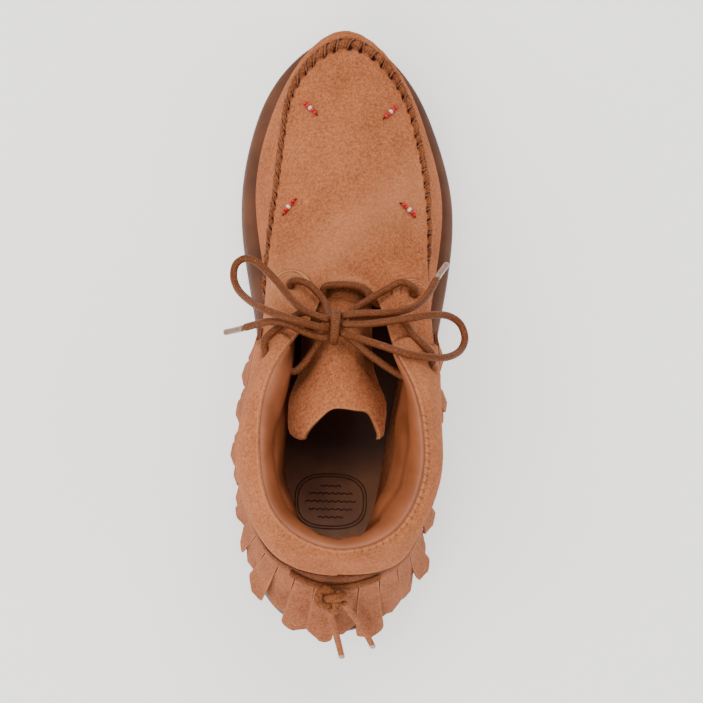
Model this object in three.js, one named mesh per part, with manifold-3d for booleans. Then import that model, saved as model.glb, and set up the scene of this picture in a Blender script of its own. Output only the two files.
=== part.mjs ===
// A low moccasin boot for the right foot, in tan suede. The upper has a hand-sewn apron with a raised seam,
// and a padded collar lined in smooth leather. A fringed skirt hangs from the collar round the heel,
// and the boot stands on a moulded wedge sole whose dark rubber wraps up round the heel.
//
// Millimetres, +Z up, +Y towards the toe, +X towards the outer (lateral) side of the foot.
// Every form is first worked out from the heel end of the sole, on the floor; the whole boot is then moved
// so that its origin is at the middle of its footprint, on the floor.

import * as THREE from "three";
import Module from "manifold-3d";
import { mergeVertices } from "three/addons/utils/BufferGeometryUtils.js";

const wasm = await Module();
wasm.setup();

// Driving sizes of the last
const LENGTH = 296;
const BALL_WIDTH = 106;
const SEAM_HEIGHT = 50;
const INSTEP_HEIGHT = 84;
const COLLAR_HEIGHT = 127;

// Driving sizes of the sole
const HEEL_STACK = 33;
const BALL_STACK = 23;
const TOE_SPRING = 12;
const ARCH_RISE = 3;
const HEEL_BEVEL = 4;
const OUTSOLE_THICKNESS = 5;
const OUTSOLE_WALL = 1.8;
const OUTSOLE_LIP = 1.6;
const HEEL_WRAP_HEIGHT = 19;
const HEEL_RIB_DEPTH = 0.8;
const TREAD_DEPTH = 2.2;
const TREAD_GROOVE = 3;
const TREAD_PITCH = 13;
const SOLE_FLANGE = 7.2;
const SOLE_GROOVE_DEPTH = 1.2;
const INSOLE_THICKNESS = 4;

// Driving sizes of the upper
const UPPER_WALL = 2.2;
const SEAM_RIDGE = 1.8;
const BAND_STEP = 2;
const LINING_PAD = 11;
const TAB_THICKNESS = 1.5;
const TAB_RADIUS = 9.5;
const TONGUE_THICKNESS = 2.4;
const EYELET_DIAMETER = 5.4;
const FRINGE_THICKNESS = 1.4;
const FRINGE_LENGTH = 62;
const FRINGE_STRIPS = 30;
const FRINGE_PITCH = 9.4;
const FRINGE_SLIT = 1;
const FRINGE_BAND = 11;
const FRINGE_CURL = 1.2;
const FRINGE_TWIST = 3;
const FLARE_HEEL = 0.38;
const FLARE_LATERAL = 0.13;
const FLARE_MEDIAL = 0.04;

// Driving sizes of the laces, thong and beads
const LACE_DIAMETER = 3.4;
const TIP_LENGTH = 11;
const TIP_DIAMETER = 2.9;
const THONG_WIDTH = 4.6;
const THONG_THICKNESS = 2;
const BEAD_DIAMETER = 2.3;
const BEAD_LENGTH = 1.55;
const BEADS_IN_ROW = 5;

const BOW_REACH = 60;

const CLEARANCE = 0.3;

// Lines that run round the boot, one row for each of eleven sections from the heel to the toe.
// along is a share of LENGTH from the heel end; lateral and medial are shares of BALL_WIDTH from the
// centreline; up is a share of the height that the line follows.
const SOLE_EDGE = [
  { along: 0.0, lateral: 0.0, medial: 0.0 },
  { along: 0.047, lateral: 0.287, medial: -0.285 },
  { along: 0.155, lateral: 0.385, medial: -0.38 },
  { along: 0.27, lateral: 0.4, medial: -0.366 },
  { along: 0.385, lateral: 0.42, medial: -0.351 },
  { along: 0.5, lateral: 0.472, medial: -0.377 },
  { along: 0.613, lateral: 0.523, medial: -0.434 },
  { along: 0.726, lateral: 0.53, medial: -0.461 },
  { along: 0.838, lateral: 0.448, medial: -0.412 },
  { along: 0.9375, lateral: 0.297, medial: -0.278 },
  { along: 1.0, lateral: 0.009, medial: 0.009 },
];

// The widest line of the lower wall; up is a share of SEAM_HEIGHT.
const WALL_LINE = [
  { along: 0.029, lateral: -0.005, medial: -0.005, up: 0.9 },
  { along: 0.068, lateral: 0.24, medial: -0.25, up: 0.95 },
  { along: 0.159, lateral: 0.34, medial: -0.345, up: 0.9 },
  { along: 0.27, lateral: 0.345, medial: -0.33, up: 0.88 },
  { along: 0.385, lateral: 0.36, medial: -0.302, up: 0.85 },
  { along: 0.5, lateral: 0.401, medial: -0.318, up: 0.8 },
  { along: 0.608, lateral: 0.443, medial: -0.363, up: 0.76 },
  { along: 0.713, lateral: 0.458, medial: -0.39, up: 0.74 },
  { along: 0.814, lateral: 0.392, medial: -0.354, up: 0.75 },
  { along: 0.918, lateral: 0.262, medial: -0.238, up: 0.77 },
  { along: 0.99, lateral: 0.0, medial: 0.0, up: 0.8 },
];

// The moccasin seam from the fifth section on, and the waist of the quarter behind it;
// up is a share of SEAM_HEIGHT.
const SEAM_LINE = [
  { along: 0.061, lateral: -0.015, medial: -0.015, up: 1.45 },
  { along: 0.088, lateral: 0.19, medial: -0.215, up: 1.45 },
  { along: 0.166, lateral: 0.27, medial: -0.305, up: 1.45 },
  { along: 0.27, lateral: 0.275, medial: -0.325, up: 1.42 },
  { along: 0.385, lateral: 0.315, medial: -0.325, up: 1.34 },
  { along: 0.507, lateral: 0.352, medial: -0.34, up: 1.25 },
  { along: 0.608, lateral: 0.379, medial: -0.335, up: 1.17 },
  { along: 0.713, lateral: 0.377, medial: -0.307, up: 1.11 },
  { along: 0.811, lateral: 0.33, medial: -0.281, up: 1.06 },
  { along: 0.902, lateral: 0.235, medial: -0.215, up: 1.02 },
  { along: 0.963, lateral: 0.01, medial: 0.01, up: 1.0 },
];

// The middle of the vamp in front, and the fullest line of the collar band behind;
// up is a share of the way from INSTEP_HEIGHT to COLLAR_HEIGHT.
const CROWN_LINE = [
  { along: 0.088, lateral: -0.019, medial: -0.019, up: 0.46 },
  { along: 0.1, lateral: 0.195, medial: -0.231, up: 0.47 },
  { along: 0.146, lateral: 0.31, medial: -0.365, up: 0.49 },
  { along: 0.223, lateral: 0.375, medial: -0.43, up: 0.51 },
  { along: 0.297, lateral: 0.385, medial: -0.43, up: 0.53 },
  { along: 0.372, lateral: 0.38, medial: -0.385, up: 0.48 },
  { along: 0.466, lateral: 0.34, medial: -0.32, up: 0.24 },
  { along: 0.595, lateral: 0.3, medial: -0.258, up: -0.3 },
  { along: 0.666, lateral: 0.255, medial: -0.212, up: -0.4 },
  { along: 0.723, lateral: 0.17, medial: -0.142, up: -0.41 },
  { along: 0.752, lateral: 0.014, medial: 0.014, up: -0.415 },
];

// The edge of the opening: throat in front, collar rim behind; up as for the crown line.
const TOP_LINE = [
  { along: 0.103, lateral: -0.019, medial: -0.019, up: 0.9 },
  { along: 0.117, lateral: 0.145, medial: -0.179, up: 0.91 },
  { along: 0.159, lateral: 0.265, medial: -0.311, up: 0.93 },
  { along: 0.223, lateral: 0.322, medial: -0.365, up: 0.96 },
  { along: 0.291, lateral: 0.315, medial: -0.372, up: 0.99 },
  { along: 0.353, lateral: 0.27, medial: -0.342, up: 0.98 },
  { along: 0.409, lateral: 0.198, medial: -0.262, up: 0.77 },
  { along: 0.466, lateral: 0.165, medial: -0.152, up: 0.28 },
  { along: 0.511, lateral: 0.132, medial: -0.104, up: 0.01 },
  { along: 0.532, lateral: 0.08, medial: -0.062, up: -0.01 },
  { along: 0.5365, lateral: 0.009, medial: 0.009, up: 0.0 },
];

const ROWS = SOLE_EDGE.length - 1;
const TURN = 2 * ROWS;

// Heights at which the section curve passes the lines: foot, wall, seam, apron edge, crown and top.
const LEVEL = { foot: 0, wall: 0.18, seam: 0.36, apron: 0.45, crown: 0.74, top: 1 };
const APRON_SHARE = 0.2;
const BAND_LEVEL = 0.66;

function smooth(from, to, x) {
  const t = Math.min(1, Math.max(0, (x - from) / (to - from)));
  return t * t * (3 - 2 * t);
}

function mix(a, b, t) {
  return a + (b - a) * t;
}

// Values at equal steps round a loop, joined by one curve of continuous curvature.
function closedSpline(values) {
  const n = values.length;
  let bend = values.map(() => 0);
  for (let pass = 0; pass < 40; pass++)
    bend = bend.map((_, i) => {
      const next = (i + 1) % n;
      const last = (i + n - 1) % n;
      const wanted = 6 * (values[next] - 2 * values[i] + values[last]);
      return (wanted - bend[next] - bend[last]) / 4;
    });
  return (turn) => {
    const t = ((turn % n) + n) % n;
    const i = Math.floor(t);
    const next = (i + 1) % n;
    const b = t - i;
    const a = 1 - b;
    return a * values[i] + b * values[next] + ((a ** 3 - a) * bend[i] + (b ** 3 - b) * bend[next]) / 6;
  };
}

// Values at given knots, joined by one curve that ends straight.
function openSpline(knots, values) {
  const n = knots.length;
  const step = knots.slice(1).map((k, i) => k - knots[i]);
  let bend = values.map(() => 0);
  for (let pass = 0; pass < 60; pass++)
    bend = bend.map((_, i) => {
      if (i === 0 || i === n - 1) return 0;
      const rise = (values[i + 1] - values[i]) / step[i] - (values[i] - values[i - 1]) / step[i - 1];
      const sides = step[i - 1] * bend[i - 1] + step[i] * bend[i + 1];
      return (6 * rise - sides) / (2 * (step[i - 1] + step[i]));
    });
  return (x) => {
    let i = 0;
    while (i < n - 2 && x > knots[i + 1]) i++;
    const h = step[i];
    const b = (x - knots[i]) / h;
    const a = 1 - b;
    const curve = ((a ** 3 - a) * bend[i] + (b ** 3 - b) * bend[i + 1]) * h * h;
    return a * values[i] + b * values[i + 1] + curve / 6;
  };
}

// A line round the boot, as a function of the turn: 0 at the heel, ROWS at the toe, lateral side first.
function lineRound(table, height) {
  const loop = [];
  for (let turn = 0; turn < TURN; turn++) {
    const row = table[turn <= ROWS ? turn : TURN - turn];
    const side = turn <= ROWS ? row.lateral : row.medial;
    loop.push([side * BALL_WIDTH, row.along * LENGTH, height(row)]);
  }
  const [x, y, z] = [0, 1, 2].map((k) => closedSpline(loop.map((p) => p[k])));
  return (turn) => new THREE.Vector3(x(turn), y(turn), z(turn));
}

// The sole's own heights along the boot: its tread, its top edge and the top of the rubber wrap.
const treadHeight = openSpline(
  [0, 0.07, 0.25, 0.4, 0.52, 0.76, 0.9, 1].map((share) => share * LENGTH),
  [HEEL_BEVEL, 0, 0, ARCH_RISE, 0, 0, 0.42 * TOE_SPRING, TOE_SPRING],
);
const stackHeight = openSpline(
  [0, 0.2, 0.42, 0.68, 0.88, 1].map((share) => share * LENGTH),
  [HEEL_STACK, 0.9 * HEEL_STACK, mix(BALL_STACK, HEEL_STACK, 0.3), BALL_STACK, 1.06 * BALL_STACK, 1.25 * BALL_STACK],
);

const FLAT_SPOTS = [
  [0.07, 0.25],
  [0.52, 0.76],
];

function treadAt(y) {
  const share = y / LENGTH;
  const flat = FLAT_SPOTS.some(([from, to]) => share >= from && share <= to);
  return flat ? 0 : Math.max(0, treadHeight(y));
}

function wrapTopAt(y) {
  const low = treadAt(y) + OUTSOLE_THICKNESS + OUTSOLE_LIP;
  const high = treadAt(y) + OUTSOLE_THICKNESS + HEEL_WRAP_HEIGHT;
  return mix(high, low, smooth(0.1 * LENGTH, 0.4 * LENGTH, y));
}

const soleEdge = lineRound(SOLE_EDGE, () => 0);
const wallLine = lineRound(WALL_LINE, (row) => row.up * SEAM_HEIGHT);
const seamLine = lineRound(SEAM_LINE, (row) => row.up * SEAM_HEIGHT);
const crownLine = lineRound(CROWN_LINE, (row) => mix(INSTEP_HEIGHT, COLLAR_HEIGHT, row.up));
const topLine = lineRound(TOP_LINE, (row) => mix(INSTEP_HEIGHT, COLLAR_HEIGHT, row.up));

// The foot of the upper stands just inside its widest line, on the sole's top edge.
const FOOT_TUCK = 1.5;

function plainNormal(line, turn) {
  const ahead = line(turn + 0.01);
  const behind = line(turn - 0.01);
  return new THREE.Vector3(ahead.y - behind.y, behind.x - ahead.x, 0).normalize();
}

function footLine(turn) {
  const wall = wallLine(turn);
  const foot = wall.clone().addScaledVector(plainNormal(wallLine, turn), -FOOT_TUCK);
  foot.z = stackHeight(foot.y) + CLEARANCE;
  return foot;
}

const levelNames = Object.keys(LEVEL);
const levelKnots = Object.values(LEVEL);
const levelWeights = levelNames.map((_, k) =>
  openSpline(levelKnots, levelNames.map((_, j) => (j === k ? 1 : 0))),
);

// The upper's own surface: turn goes round the boot, level from the foot to the edge of the opening.
function skin(turn, level) {
  const seam = seamLine(turn);
  const crown = crownLine(turn);
  const lines = [footLine(turn), wallLine(turn), seam, seam.clone().lerp(crown, APRON_SHARE), crown, topLine(turn)];
  const point = new THREE.Vector3();
  lines.forEach((p, k) => point.addScaledVector(p, levelWeights[k](level)));
  return point;
}

function skinNormal(turn, level) {
  const d = 0.02;
  const low = Math.max(0, level - d);
  const high = Math.min(1, level + d);
  const round = skin(turn + d, level).sub(skin(turn - d, level));
  const rise = skin(turn, high).sub(skin(turn, low));
  return round.cross(rise).normalize();
}

// How far a turn lies from the heel, 0 at the heel and ROWS at the toe, on either side.
function fromHeel(turn) {
  const t = ((turn % TURN) + TURN) % TURN;
  return Math.min(t, TURN - t);
}

// Eyelets: on each side one through the tab at the throat, and one through the collar's front flap.
const EYELETS = {
  tabLateral: { turn: 6.51, level: 0.796 },
  tabMedial: { turn: TURN - 6.756, level: 0.846 },
  flapLateral: { turn: 5.35, level: 0.82 },
  flapMedial: { turn: TURN - 5.57, level: 0.844 },
};

// The raised seam round the apron, the step where the collar band stands out over the quarter,
// and the two rounded tabs.
function relief(turn, level) {
  const seam = Math.exp(-(((level - LEVEL.seam - 0.012) / 0.014) ** 2)) * smooth(4.7, 5.4, fromHeel(turn));
  const band = smooth(BAND_LEVEL - 0.006, BAND_LEVEL + 0.006, level) * (1 - smooth(0.9, 1, level));
  const here = skin(turn, level);
  const tab = [EYELETS.tabLateral, EYELETS.tabMedial].reduce((most, place) => {
    const distance = here.distanceTo(skin(place.turn, place.level));
    return Math.max(most, 1 - smooth(TAB_RADIUS - 1, TAB_RADIUS + 1.5, distance));
  }, 0);
  return SEAM_RIDGE * seam + BAND_STEP * band * (1 - smooth(5.2, 6.0, fromHeel(turn))) + TAB_THICKNESS * tab;
}

function offSkin(turn, level, out) {
  return skin(turn, level).addScaledVector(skinNormal(turn, level), out);
}

// Closed meshes from grids of points
class MeshBuilder {
  constructor() {
    this.points = [];
    this.faces = [];
  }
  point(p) {
    this.points.push(p.x, p.y, p.z);
    return this.points.length / 3 - 1;
  }
  row(points) {
    return points.map((p) => this.point(p));
  }
  quad(a, b, c, d) {
    this.faces.push(a, b, c, a, c, d);
  }
  // A strip between two rows of equal length; closed rows join their ends.
  strip(low, high, closed) {
    const last = closed ? low.length : low.length - 1;
    for (let i = 0; i < last; i++) {
      const j = (i + 1) % low.length;
      this.quad(low[i], low[j], high[j], high[i]);
    }
  }
  geometry() {
    const made = new THREE.BufferGeometry();
    made.setAttribute("position", new THREE.Float32BufferAttribute(this.points, 3));
    made.setIndex(this.faces);
    return made;
  }
}

// A wall round the boot between an outer and an inner skin, each a list of rows from low to high.
function wallGeometry(outer, inner) {
  const mesh = new MeshBuilder();
  const rows = [...outer, ...inner.slice().reverse()].map((points) => mesh.row(points));
  rows.forEach((row, k) => mesh.strip(row, rows[(k + 1) % rows.length], true));
  return mesh.geometry();
}

// A sheet with two faces, outer(column, row) and inner(column, row), made only of the cells that are there.
function sheetGeometry(columns, rows, outer, inner, isThere = () => true) {
  const mesh = new MeshBuilder();
  const grid = (face) =>
    Array.from({ length: columns }, (_, c) => Array.from({ length: rows }, (_, r) => mesh.point(face(c, r))));
  const front = grid(outer);
  const back = grid(inner);
  const has = (c, r) => c >= 0 && r >= 0 && c < columns - 1 && r < rows - 1 && isThere(c, r);
  for (let c = 0; c < columns - 1; c++) {
    for (let r = 0; r < rows - 1; r++) {
      if (!has(c, r)) continue;
      mesh.quad(front[c][r], front[c + 1][r], front[c + 1][r + 1], front[c][r + 1]);
      mesh.quad(back[c][r], back[c][r + 1], back[c + 1][r + 1], back[c + 1][r]);
      const side = (c1, r1, c2, r2) => mesh.quad(back[c1][r1], back[c2][r2], front[c2][r2], front[c1][r1]);
      if (!has(c, r - 1)) side(c, r, c + 1, r);
      if (!has(c, r + 1)) side(c + 1, r + 1, c, r + 1);
      if (!has(c - 1, r)) side(c, r + 1, c, r);
      if (!has(c + 1, r)) side(c + 1, r, c + 1, r + 1);
    }
  }
  return mesh.geometry();
}

// A body made of closed rings, one above the other, whose points face each other across the boot.
function ringGeometry(rings) {
  const mesh = new MeshBuilder();
  const rows = rings.map((ring) => mesh.row(ring));
  for (let k = 0; k < rows.length - 1; k++) mesh.strip(rows[k], rows[k + 1], true);
  const count = rings[0].length;
  const cap = (row, up) => {
    for (let i = 0; i < count / 2; i++) {
      const a = row[i];
      const b = row[i + 1];
      const c = row[(count - i - 1) % count];
      const d = row[(count - i) % count];
      if (a !== d) mesh.faces.push(...(up ? [a, b, d] : [a, d, b]));
      if (b !== c) mesh.faces.push(...(up ? [b, c, d] : [b, d, c]));
    }
  };
  cap(rows[0], false);
  cap(rows[rows.length - 1], true);
  return mesh.geometry();
}

// Boolean work on three.js geometries
function toSolid(geometry) {
  const bare = new THREE.BufferGeometry();
  bare.setAttribute("position", (geometry.index ? geometry.toNonIndexed() : geometry).getAttribute("position"));
  const merged = mergeVertices(bare, 1e-4);
  return new wasm.Manifold(
    new wasm.Mesh({
      numProp: 3,
      vertProperties: new Float32Array(merged.getAttribute("position").array),
      triVerts: new Uint32Array(merged.index.array),
    }),
  );
}

function toGeometry(solid) {
  const mesh = solid.getMesh();
  const made = new THREE.BufferGeometry();
  made.setAttribute("position", new THREE.BufferAttribute(new Float32Array(mesh.vertProperties), 3));
  made.setIndex(Array.from(mesh.triVerts));
  return made;
}

function joined(geometries) {
  return toGeometry(geometries.map(toSolid).reduce((all, one) => all.add(one)));
}

function cut(geometry, tools) {
  return toGeometry(tools.map(toSolid).reduce((left, tool) => left.subtract(tool), toSolid(geometry)));
}

const boot = new THREE.Group();
const looseCords = new Set();

function addPiece(name, geometry, { color, roughness, metalness = 0 }, isCord = false) {
  const bare = geometry.index ? geometry.toNonIndexed() : geometry;
  bare.computeVertexNormals();
  const piece = new THREE.Mesh(bare, new THREE.MeshStandardMaterial({ color, roughness, metalness }));
  piece.name = name;
  boot.add(piece);
  if (isCord) looseCords.add(piece);
  return piece;
}

const SUEDE = { color: "#b97a58", roughness: 0.95 };
const LINING_LEATHER = { color: "#c07a4c", roughness: 0.55 };
const MIDSOLE_FOAM = { color: "#8a634b", roughness: 0.7 };
const OUTSOLE_RUBBER = { color: "#33221b", roughness: 0.6 };
const INSOLE_LEATHER = { color: "#815942", roughness: 0.85 };
const WAXED_LACE = { color: "#7b4427", roughness: 0.4 };
const CLEAR_TIP = { color: "#a3876c", roughness: 0.25 };
const RED_GLASS = { color: "#c8202e", roughness: 0.25 };

// Columns round the boot stand closer together at the heel, at the tabs and at the toe.
const COLUMNS = 66;
const CLOSE_COLUMNS = [
  { turn: 0, spread: 1.5, more: 0.8 },
  { turn: 6.6, spread: 0.7, more: 1.6 },
  { turn: ROWS, spread: 1.3, more: 1.2 },
];

function spacedTurns() {
  const FINE = 2000;
  const density = (turn) =>
    CLOSE_COLUMNS.reduce((sum, { turn: at, spread, more }) => sum + more * Math.exp(-(((turn - at) / spread) ** 2)), 1);
  const sums = [0];
  for (let i = 0; i < FINE; i++) sums.push(sums[i] + density(((i + 0.5) * ROWS) / FINE));
  const half = COLUMNS / 2;
  const side = Array.from({ length: half + 1 }, (_, k) => {
    const i = sums.findIndex((sum) => sum >= (sums[FINE] * k) / half - 1e-9);
    return (i * ROWS) / FINE;
  });
  return [...side, ...side.slice(1, half).reverse().map((turn) => TURN - turn)];
}

const turns = spacedTurns();

// The sole's edge at a turn, moved in from the outline and set at a height of its own.
function soleRing(inset, height) {
  return turns.map((turn) => {
    const edge = soleEdge(turn);
    const depth = typeof inset === "function" ? inset(edge.y) : inset;
    const point = edge.clone().addScaledVector(plainNormal(soleEdge, turn), -depth);
    point.z = height(point.y);
    return point;
  });
}

// Outsole: a tray whose wall wraps up round the heel in ribs, with cross grooves in its tread.
function makeOutsole() {
  const UNDERCUT = 3.5;
  const ribs = 4;
  const rings = [soleRing(UNDERCUT, treadAt), soleRing(0.9, (y) => treadAt(y) + 0.5 * OUTSOLE_THICKNESS)];
  const ribShare = (y) => 1 - smooth(0.28 * LENGTH, 0.4 * LENGTH, y);
  for (let k = 0; k <= 2 * ribs; k++) {
    const share = k / (2 * ribs);
    const depth = (y) => (k % 2 === 0 ? HEEL_RIB_DEPTH * ribShare(y) : 0);
    rings.push(soleRing(depth, (y) => mix(treadAt(y) + 0.8 * OUTSOLE_THICKNESS, wrapTopAt(y), share)));
  }
  rings.push(soleRing(OUTSOLE_WALL, wrapTopAt));
  rings.push(soleRing(OUTSOLE_WALL, (y) => treadAt(y) + OUTSOLE_THICKNESS));
  const grooves = [];
  for (const [from, to] of FLAT_SPOTS) {
    for (let y = from * LENGTH + TREAD_PITCH / 2; y < to * LENGTH; y += TREAD_PITCH) {
      const groove = new THREE.BoxGeometry(2 * BALL_WIDTH, TREAD_GROOVE, 2 * TREAD_DEPTH);
      grooves.push(groove.translate(0, y, 0));
    }
  }
  return cut(ringGeometry(rings), grooves);
}

// Midsole: stands in the outsole's tray, steps out over its wall, and ends in a groove and a sloping flange.
const MIDSOLE_STEPS = [
  { up: 0.0, inset: 0.5 },
  { up: 0.3, inset: 0.0 },
  { up: 0.56, inset: 0.5 },
  { up: 0.66, inset: 0.5, groove: 1 },
  { up: 0.74, inset: 0.9 },
  { up: 0.88, inset: 2.4 },
  { up: 1.0, inset: 4.6 },
];

function makeMidsole() {
  const seat = OUTSOLE_WALL + CLEARANCE;
  const rings = [
    soleRing(seat, (y) => treadAt(y) + OUTSOLE_THICKNESS + CLEARANCE),
    soleRing(seat, (y) => wrapTopAt(y) + CLEARANCE),
  ];
  for (const { up, inset, groove = 0 } of MIDSOLE_STEPS)
    rings.push(
      soleRing(inset + groove * SOLE_GROOVE_DEPTH, (y) => mix(wrapTopAt(y) + CLEARANCE, stackHeight(y), up)),
    );
  rings.push(soleRing(SOLE_FLANGE, stackHeight));
  return ringGeometry(rings);
}

// Insole: fills the inside of the upper's foot, with a soft rise at its rim.
function makeInsole() {
  const ring = (inset, lift) =>
    turns.map((turn) => {
      const wall = footLine(turn);
      const point = wall.clone().addScaledVector(plainNormal(wallLine, turn), -(UPPER_WALL + inset));
      point.z = stackHeight(point.y) + CLEARANCE + lift;
      return point;
    });
  return ringGeometry([ring(1, 0), ring(CLEARANCE, 0.4 * INSOLE_THICKNESS), ring(0.8, INSOLE_THICKNESS)]);
}

// Upper
const OUTER_LEVELS = [
  0, 0.09, 0.18, 0.27, 0.335, 0.354, 0.372, 0.39, 0.42, 0.5, 0.58, 0.652, 0.668, 0.71, 0.75, 0.79, 0.83, 0.87, 0.91, 0.96, 1,
];
const INNER_LEVELS = [0, 0.18, 0.3, 0.38, 0.46, 0.55, 0.6, 0.68, 0.77, 0.85, 0.92, 0.97, 0.99, 1];

// A surface position reached from another by going a little way sideways and forwards, seen from above.
function moveInPlan({ turn, level }, side, fore) {
  const d = 0.01;
  const here = skin(turn, level);
  const byTurn = skin(turn + d, level).sub(here).divideScalar(d);
  const byLevel = skin(turn, level + d).sub(here).divideScalar(d);
  const determinant = byTurn.x * byLevel.y - byTurn.y * byLevel.x;
  return {
    turn: turn + (side * byLevel.y - fore * byLevel.x) / determinant,
    level: level + (fore * byTurn.x - side * byTurn.y) / determinant,
  };
}

function onSkin({ turn, level }, out) {
  return offSkin(turn, level, out);
}

function eyeletTool(place) {
  const EYELET_REACH = 36;
  const tool = new THREE.CylinderGeometry(EYELET_DIAMETER / 2, EYELET_DIAMETER / 2, EYELET_REACH, 12);
  const normal = skinNormal(place.turn, place.level);
  tool.applyQuaternion(new THREE.Quaternion().setFromUnitVectors(new THREE.Vector3(0, 1, 0), normal));
  const centre = onSkin(place, 0);
  return tool.translate(centre.x, centre.y, centre.z);
}

const tabTools = [EYELETS.tabLateral, EYELETS.tabMedial].map(eyeletTool);
const flapTools = [EYELETS.flapLateral, EYELETS.flapMedial].map(eyeletTool);

function makeUpper() {
  const outer = OUTER_LEVELS.map((level) => turns.map((turn) => offSkin(turn, level, relief(turn, level))));
  const inner = INNER_LEVELS.map((level) => turns.map((turn) => offSkin(turn, level, -UPPER_WALL)));
  return cut(wallGeometry(outer, inner), [...tabTools, ...flapTools]);
}

// Collar cuff: the padded leather funnel inside the collar; pad is a share of LINING_PAD.
const CUFF_ROWS = [
  { level: 0.55, pad: 1.0 },
  { level: 0.6, pad: 1.12 },
  { level: 0.68, pad: 1.1 },
  { level: 0.77, pad: 1.0 },
  { level: 0.85, pad: 0.8 },
  { level: 0.92, pad: 0.55 },
  { level: 0.97, pad: 0.3 },
  { level: 0.99, pad: 0.12 },
];
// The pad's own thickness round the collar, from the medial flap past the heel to the lateral flap.
const CUFF_ROUND = [
  { turn: -6.1, thick: 0.95 },
  { turn: -5, thick: 1.1 },
  { turn: -3.5, thick: 1.15 },
  { turn: -2, thick: 1.2 },
  { turn: -1, thick: 1.0 },
  { turn: 0, thick: 0.6 },
  { turn: 1, thick: 1.2 },
  { turn: 2, thick: 1.45 },
  { turn: 3, thick: 1.22 },
  { turn: 4, thick: 1.08 },
  { turn: 5, thick: 0.75 },
  { turn: 6.1, thick: 0.35 },
];
const CUFF_END = 6.1;
const cuffTurns = [
  ...turns.filter((turn) => turn >= TURN - CUFF_END).map((turn) => turn - TURN),
  ...turns.filter((turn) => turn <= CUFF_END),
];

const cuffThickness = openSpline(
  CUFF_ROUND.map(({ turn }) => turn),
  CUFF_ROUND.map(({ thick }) => thick),
);

function cuffPad(turn, pad) {
  return Math.max(1.4, LINING_PAD * pad * cuffThickness(turn));
}

function makeCuff() {
  const seat = UPPER_WALL + 2 * CLEARANCE;
  const outer = (c, r) => offSkin(cuffTurns[c], CUFF_ROWS[r].level, -seat);
  const inner = (c, r) => {
    const pad = cuffPad(cuffTurns[c], CUFF_ROWS[r].pad);
    return offSkin(cuffTurns[c], CUFF_ROWS[r].level, -(seat + pad));
  };
  return cut(sheetGeometry(cuffTurns.length, CUFF_ROWS.length, outer, inner), flapTools);
}

// Tongue: an arched sheet from under the vamp up to its free end in the opening. along is a share of LENGTH,
// up a share of INSTEP_HEIGHT, half a share of BALL_WIDTH, droop a share of the half width.
const TONGUE_ROWS = [
  { along: 0.615, up: 0.74, half: 0.15, droop: 0.36 },
  { along: 0.57, up: 0.84, half: 0.162, droop: 0.5 },
  { along: 0.53, up: 0.905, half: 0.162, droop: 0.62 },
  { along: 0.47, up: 1.045, half: 0.15, droop: 0.68 },
  { along: 0.41, up: 1.19, half: 0.155, droop: 0.74 },
  { along: 0.36, up: 1.275, half: 0.183, droop: 0.66 },
  { along: 0.317, up: 1.31, half: 0.202, droop: 0.56 },
];
const TONGUE_CENTRE = -0.033;
const TONGUE_TAIL = 0.046;

function makeTongue() {
  const ACROSS = 11;
  const face = (drop) => (c, r) => {
    const row = TONGUE_ROWS[r];
    const side = 1 - (2 * c) / (ACROSS - 1);
    const half = row.half * BALL_WIDTH;
    const tail = smooth(3, TONGUE_ROWS.length - 1, r) * TONGUE_TAIL * LENGTH;
    const lean = Math.abs(side) ** 1.3 * Math.sign(side) * drop * 0.7;
    const x = TONGUE_CENTRE * BALL_WIDTH + half * side - lean;
    const y = row.along * LENGTH - tail * side * side;
    return new THREE.Vector3(x, y, row.up * INSTEP_HEIGHT - half * row.droop * side * side - drop);
  };
  return sheetGeometry(ACROSS, TONGUE_ROWS.length, face(0), face(TONGUE_THICKNESS));
}

// Fringe: a band under the collar's ledge whose lower part is slit into strips.
const FRINGE_END = 5.55;
const FRINGE_LEVEL = BAND_LEVEL - 0.022;
const STRIP_STEPS = 5;
const STRIP_CELLS = 2;

function skirt(turn, share, out, lift = 1) {
  const start = offSkin(turn, FRINGE_LEVEL, 2.6 * CLEARANCE);
  const away = plainNormal(crownLine, turn);
  const sideFlare = turn > 0 ? FLARE_LATERAL : FLARE_MEDIAL;
  const reach = lift * FRINGE_LENGTH * mix(FLARE_HEEL, sideFlare, smooth(0.1, 2.6, fromHeel(turn)));
  const down = Math.sqrt(FRINGE_LENGTH ** 2 - reach ** 2);
  const slope = Math.atan2(reach, down);
  const point = start.addScaledVector(away, reach * (0.68 * share + 0.32 * share * share));
  point.z -= down * share;
  point.addScaledVector(away, out * Math.cos(slope));
  point.z += out * Math.sin(slope);
  return point;
}

// Each strip hangs in its own way, by its place in the row.
function stripLift(strip) {
  return 1 + 0.16 * Math.sin(2.4 * strip + 0.5) + 0.07 * Math.sin(5.1 * strip);
}

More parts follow.
